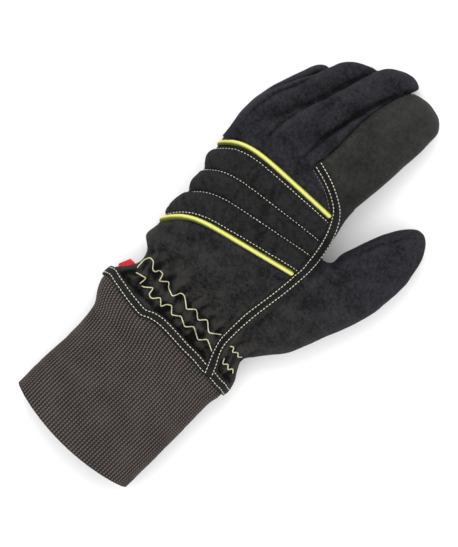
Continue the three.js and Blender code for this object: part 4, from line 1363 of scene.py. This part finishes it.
def tab_grid():
    """A ribbon folded on itself: the outline of the tab, pillowed from a flat rim."""
    corners = on_plan(TAB)
    rim = resampled(np.concatenate([corners, corners[:1]]), 0.7)[:-1]
    centre = rim.mean(0)
    height = seam_height(corners[:1, 1])[0]
    return np.array([
        np.c_[centre + (rim - centre) * share, np.full(len(rim), height + top)]
        for share, top in TAB_SECTION
    ])


red = Finish("woven_tab")
at = red.place()
ribs = red.wave(at, "DIAGONAL", 0.5, 0.6)
fleck = red.noise(at, 1.2, 3.0, 0.6)
woven = (ribs * 0.5 + fleck * 0.6 - 0.1).clamped()
red.bump(ribs * 0.7 + fleck * 0.4, 0.25)
red.set(
    Base_Color=red.blend(woven, (178, 22, 28), (226, 56, 58)), Roughness=0.75 + 0.15 * fleck,
    Specular_IOR_Level=0.3,
)
tab = tab_grid()
tab_piece = new_object("red_tab_ribbon", tab, grid_faces(tab))
dress(tab_piece, red.material, "tab", "red_tab")
print("tab grid:", tab.shape)

# %% Thread finishes
def thread_finish(name, dark, light):
    """Twisted thread: fine slanting shades and a soft, slightly shiny surface."""
    finish = Finish(name)
    at = finish.place()
    ply = finish.noise(at, 0.45, 2.0, 0.5)
    dirt = finish.noise(at, 9.0, 3.0, 0.6)
    share = (ply * 0.6 + dirt * 0.9 - 0.2).clamped()
    finish.bump(ply, 0.15)
    return finish.set(
        Base_Color=finish.blend(share, dark, light), Roughness=0.6 + 0.2 * ply, Specular_IOR_Level=0.3,
    )


white_thread = thread_finish("white_thread", (148, 146, 128), (220, 218, 200))
dim_thread = thread_finish("dim_thread", (70, 69, 64), (112, 110, 100))
cream_thread = thread_finish("cream_thread", (140, 136, 92), (222, 220, 182))
print("threads:", white_thread.name, dim_thread.name, cream_thread.name)

# %% Rows of stitches
STITCH_PITCH = 2.5
STITCH_LENGTH = 1.75


def stitch_row(path, up, radius=0.3):
    """Bars along a path: each a thread of rings that thins and dives into the cloth at its ends.
    All bars are made at once from one bar's rings, the path's points and its directions."""
    gone = gone_along(path)
    at = np.arange(STITCH_PITCH / 2, gone[-1] - STITCH_PITCH / 4, STITCH_PITCH)
    centre, run, top = (between(at, gone, values) for values in (path, tangents(path), up))
    side = unit(np.cross(run, top))
    place = np.array([-1, -0.92, -0.6, 0, 0.6, 0.92, 1])
    thick = radius * np.sqrt(np.clip(1 - place ** 4, 0, 1))
    rise = radius * (0.75 - 1.3 * place ** 4)
    turn = full_turn(6)
    ahead = (place * STITCH_LENGTH / 2)[:, None, None]
    over = (rise[:, None] + thick[:, None] * np.sin(turn))[..., None]
    beside_it = (thick[:, None] * np.cos(turn))[..., None]
    run, top, side = run[:, None, None], top[:, None, None], side[:, None, None]
    return centre[:, None, None] + ahead * run + over * top + beside_it * side


def thread_piece(name, rows, finish, slot):
    """Rows of bars as one piece."""
    bars = np.concatenate(rows)
    starts = np.arange(len(bars)) * bars[0, ..., 0].size
    faces = (grid_faces(bars[0]) + starts[:, None, None]).reshape(-1, 4)
    dress(new_object(name, bars, faces), finish, slot)
    print(name, len(bars), "stitches,", len(faces), "quads")

# %% Stitches of the pad
pad_grid_shape = (PAD_ROWS, PAD_COLUMNS, 3)
pad_lines = pad.reshape(pad_grid_shape)[sewn_rows[1:-1], 4:-4]
pad_up = normals_of(pad, pad_faces).reshape(pad_grid_shape)[sewn_rows[1:-1], 4:-4]
pad_stitches = [stitch_row(line, up, 0.32) for line, up in zip(pad_lines, pad_up)]
thread_piece("pad_stitches", pad_stitches, white_thread, "pad_cloth")

# %% Stitches of the strip and of the binding
strip_rows = [stitch_row(strip_top[1:-1, column], strip_facing[1:-1, column]) for column in (3, 9)]
thread_piece("strip_stitches", strip_rows, white_thread, "trim_leather")

beside_plan = moved_line(strip_plan, 4.6)
beside_plan = beside_plan[beside_plan[:, 1] > row_y(BODY["up_piping"], beside_plan[:, 0]) + 3]
beside_base, beside_up = laid(beside_plan)
thread_piece("knuckle_stitches", [stitch_row(beside_base, unit(beside_up), 0.26)], dim_thread, "back_cloth")

binding_up = normals_of(binding.reshape(-1, 3), binding_faces).reshape(binding.shape)
clear_of_table = np.flatnonzero(binding[6, :, 2] > 3)
turns_up = np.r_[clear_of_table[clear_of_table > 250], clear_of_table[clear_of_table <= 250]]
binding_rows = [stitch_row(binding[number, turns_up], binding_up[number, turns_up]) for number in (4, 8)]
thread_piece("binding_stitches", binding_rows, white_thread, "trim_leather")

# %% The cream zigzags of the wrist elastic
# corners on the plan: the upper row, the lower row, and what shows of both beyond the strip
ELASTIC_CORNERS = [
    [(-45.5, -43.5), (-46, -36), (-44, -31.8), (-40.5, -32), (-37.5, -36.5), (-35, -37.2), (-33.3, -33.4),
     (-29.8, -33.3), (-28.4, -39.3), (-23.2, -34.3), (-20.6, -37.7), (-14.6, -40.1), (-12.2, -33.9),
     (-9, -33.5), (-1.5, -39.6), (3, -34.4), (9.3, -39.3), (13.4, -34.1), (20.6, -40.1), (27.6, -34.6)],
    [(-43.9, -46.3), (-36, -43.6), (-36.6, -51.2), (-32.6, -49.3), (-27.7, -44.8), (-27, -50.5),
     (-23.7, -51.4), (-19.5, -46.1), (-15.3, -50.8), (-13.5, -46.4), (-10.4, -44.3), (-6.2, -49.5),
     (-0.7, -45.1), (5.9, -49), (10.4, -44), (19, -49), (22.9, -43.5), (32, -47.9)],
    [(37, -36.4), (39.4, -34.4), (41.2, -38.4), (44.3, -35), (46, -38), (48.4, -35.6)],
    [(40, -44.6), (42.4, -49), (45, -45.6), (47.4, -49.2), (49.5, -45.5), (52, -48.5)],
]


ELASTIC_RADIUS = 0.39


def rounded(corners):
    """A path through the corners with even steps, its corners drawn in a little, as a taut thread
    lies on soft cloth."""
    path = resampled(np.array(corners, float), 0.5)
    for _ in range(5):
        path[1:-1] = (path[:-2] + path[2:] + 2 * path[1:-1]) / 4
    return path


def laid_thread(plan, radius):
    """A thick thread on the skin along a plan line, with the twist of its plies."""
    base, facing = laid(plan)
    facing = unit(smoothed_along(facing, 4))
    middle = smoothed_along(base, 2) + facing * radius * 0.55
    cord = tube(middle, facing, radius, 8, lambda gone, turn: 0.13 * np.sin(3 * turn + 5.5 * gone))
    return cord, grid_faces(cord)


elastic_parts = [laid_thread(rounded(corners), ELASTIC_RADIUS) for corners in ELASTIC_CORNERS]
elastic_piece = new_object("elastic_threads", *joined(elastic_parts))
dress(elastic_piece, cream_thread, "back_cloth")
print("elastic threads:", len(elastic_piece.data.polygons), "quads")

# %% [markdown]
# ## Stage, lights and camera
#
# The glove was photographed from straight above on white, turned by an eighth of a turn. A long
# lens from far up keeps its edges upright. A large soft light from the upper left shapes the
# folds, a weaker one fills them, and a white floor takes the shadow.

# %% Floor
FLOOR_REACH = 3000
FLOOR_HEIGHT = -0.4
floor_corners = [(-1, -1), (1, -1), (1, 1), (-1, 1)]
floor_points = [(x * FLOOR_REACH, y * FLOOR_REACH, FLOOR_HEIGHT) for x, y in floor_corners]
floor = new_object("floor", floor_points, np.array([[0, 1, 2, 3]]))
floor.data.materials.append(Finish("paper").set(Base_Color=(0.9, 0.9, 0.9), Roughness=0.9))
print("floor at", FLOOR_HEIGHT, "mm")

# %% Lights
KEY_WATTS = 15
FILL_WATTS = 7
WORLD_STRENGTH = 1.3


def lamp(name, place, size, watts):
    """A square soft light that looks at the glove."""
    light = bpy.data.lights.new(name, "AREA")
    light.shape = "SQUARE"
    light.size = size
    light.energy = watts
    holder = bpy.data.objects.new(name, light)
    holder.location = place
    holder.rotation_euler = (-Vector(place)).to_track_quat("-Z", "Y").to_euler()
    bpy.context.scene.collection.objects.link(holder)


lamp("key", (-0.9, 0.7, 1.5), 1.2, KEY_WATTS)
lamp("fill", (0.9, -1.0, 1.5), 1.6, FILL_WATTS)
world = bpy.data.worlds.new("studio")
world.use_nodes = True
sky = world.node_tree.nodes["Background"].inputs
sky["Color"].default_value = (1, 1, 1, 1)
sky["Strength"].default_value = WORLD_STRENGTH
bpy.context.scene.world = world
bpy.context.scene.view_settings.view_transform = "Standard"
print("lamps:", [light.name for light in bpy.data.lights])

# %% Camera
FRAME_MM = 374.0
DISTANCE_MM = 1900.0
lens = bpy.data.cameras.new("camera")
lens.sensor_width = 36
lens.lens = 36 * DISTANCE_MM / FRAME_MM
camera = bpy.data.objects.new("camera", lens)
camera.location = (0.0017, -0.0017, (DISTANCE_MM + 25) / 1000)
camera.rotation_euler = (0, 0, math.radians(45))
bpy.context.scene.collection.objects.link(camera)
bpy.context.scene.camera = camera
print("lens:", round(lens.lens), "mm")

# %% Bring the scene up to date, and the end
bpy.context.view_layer.update()
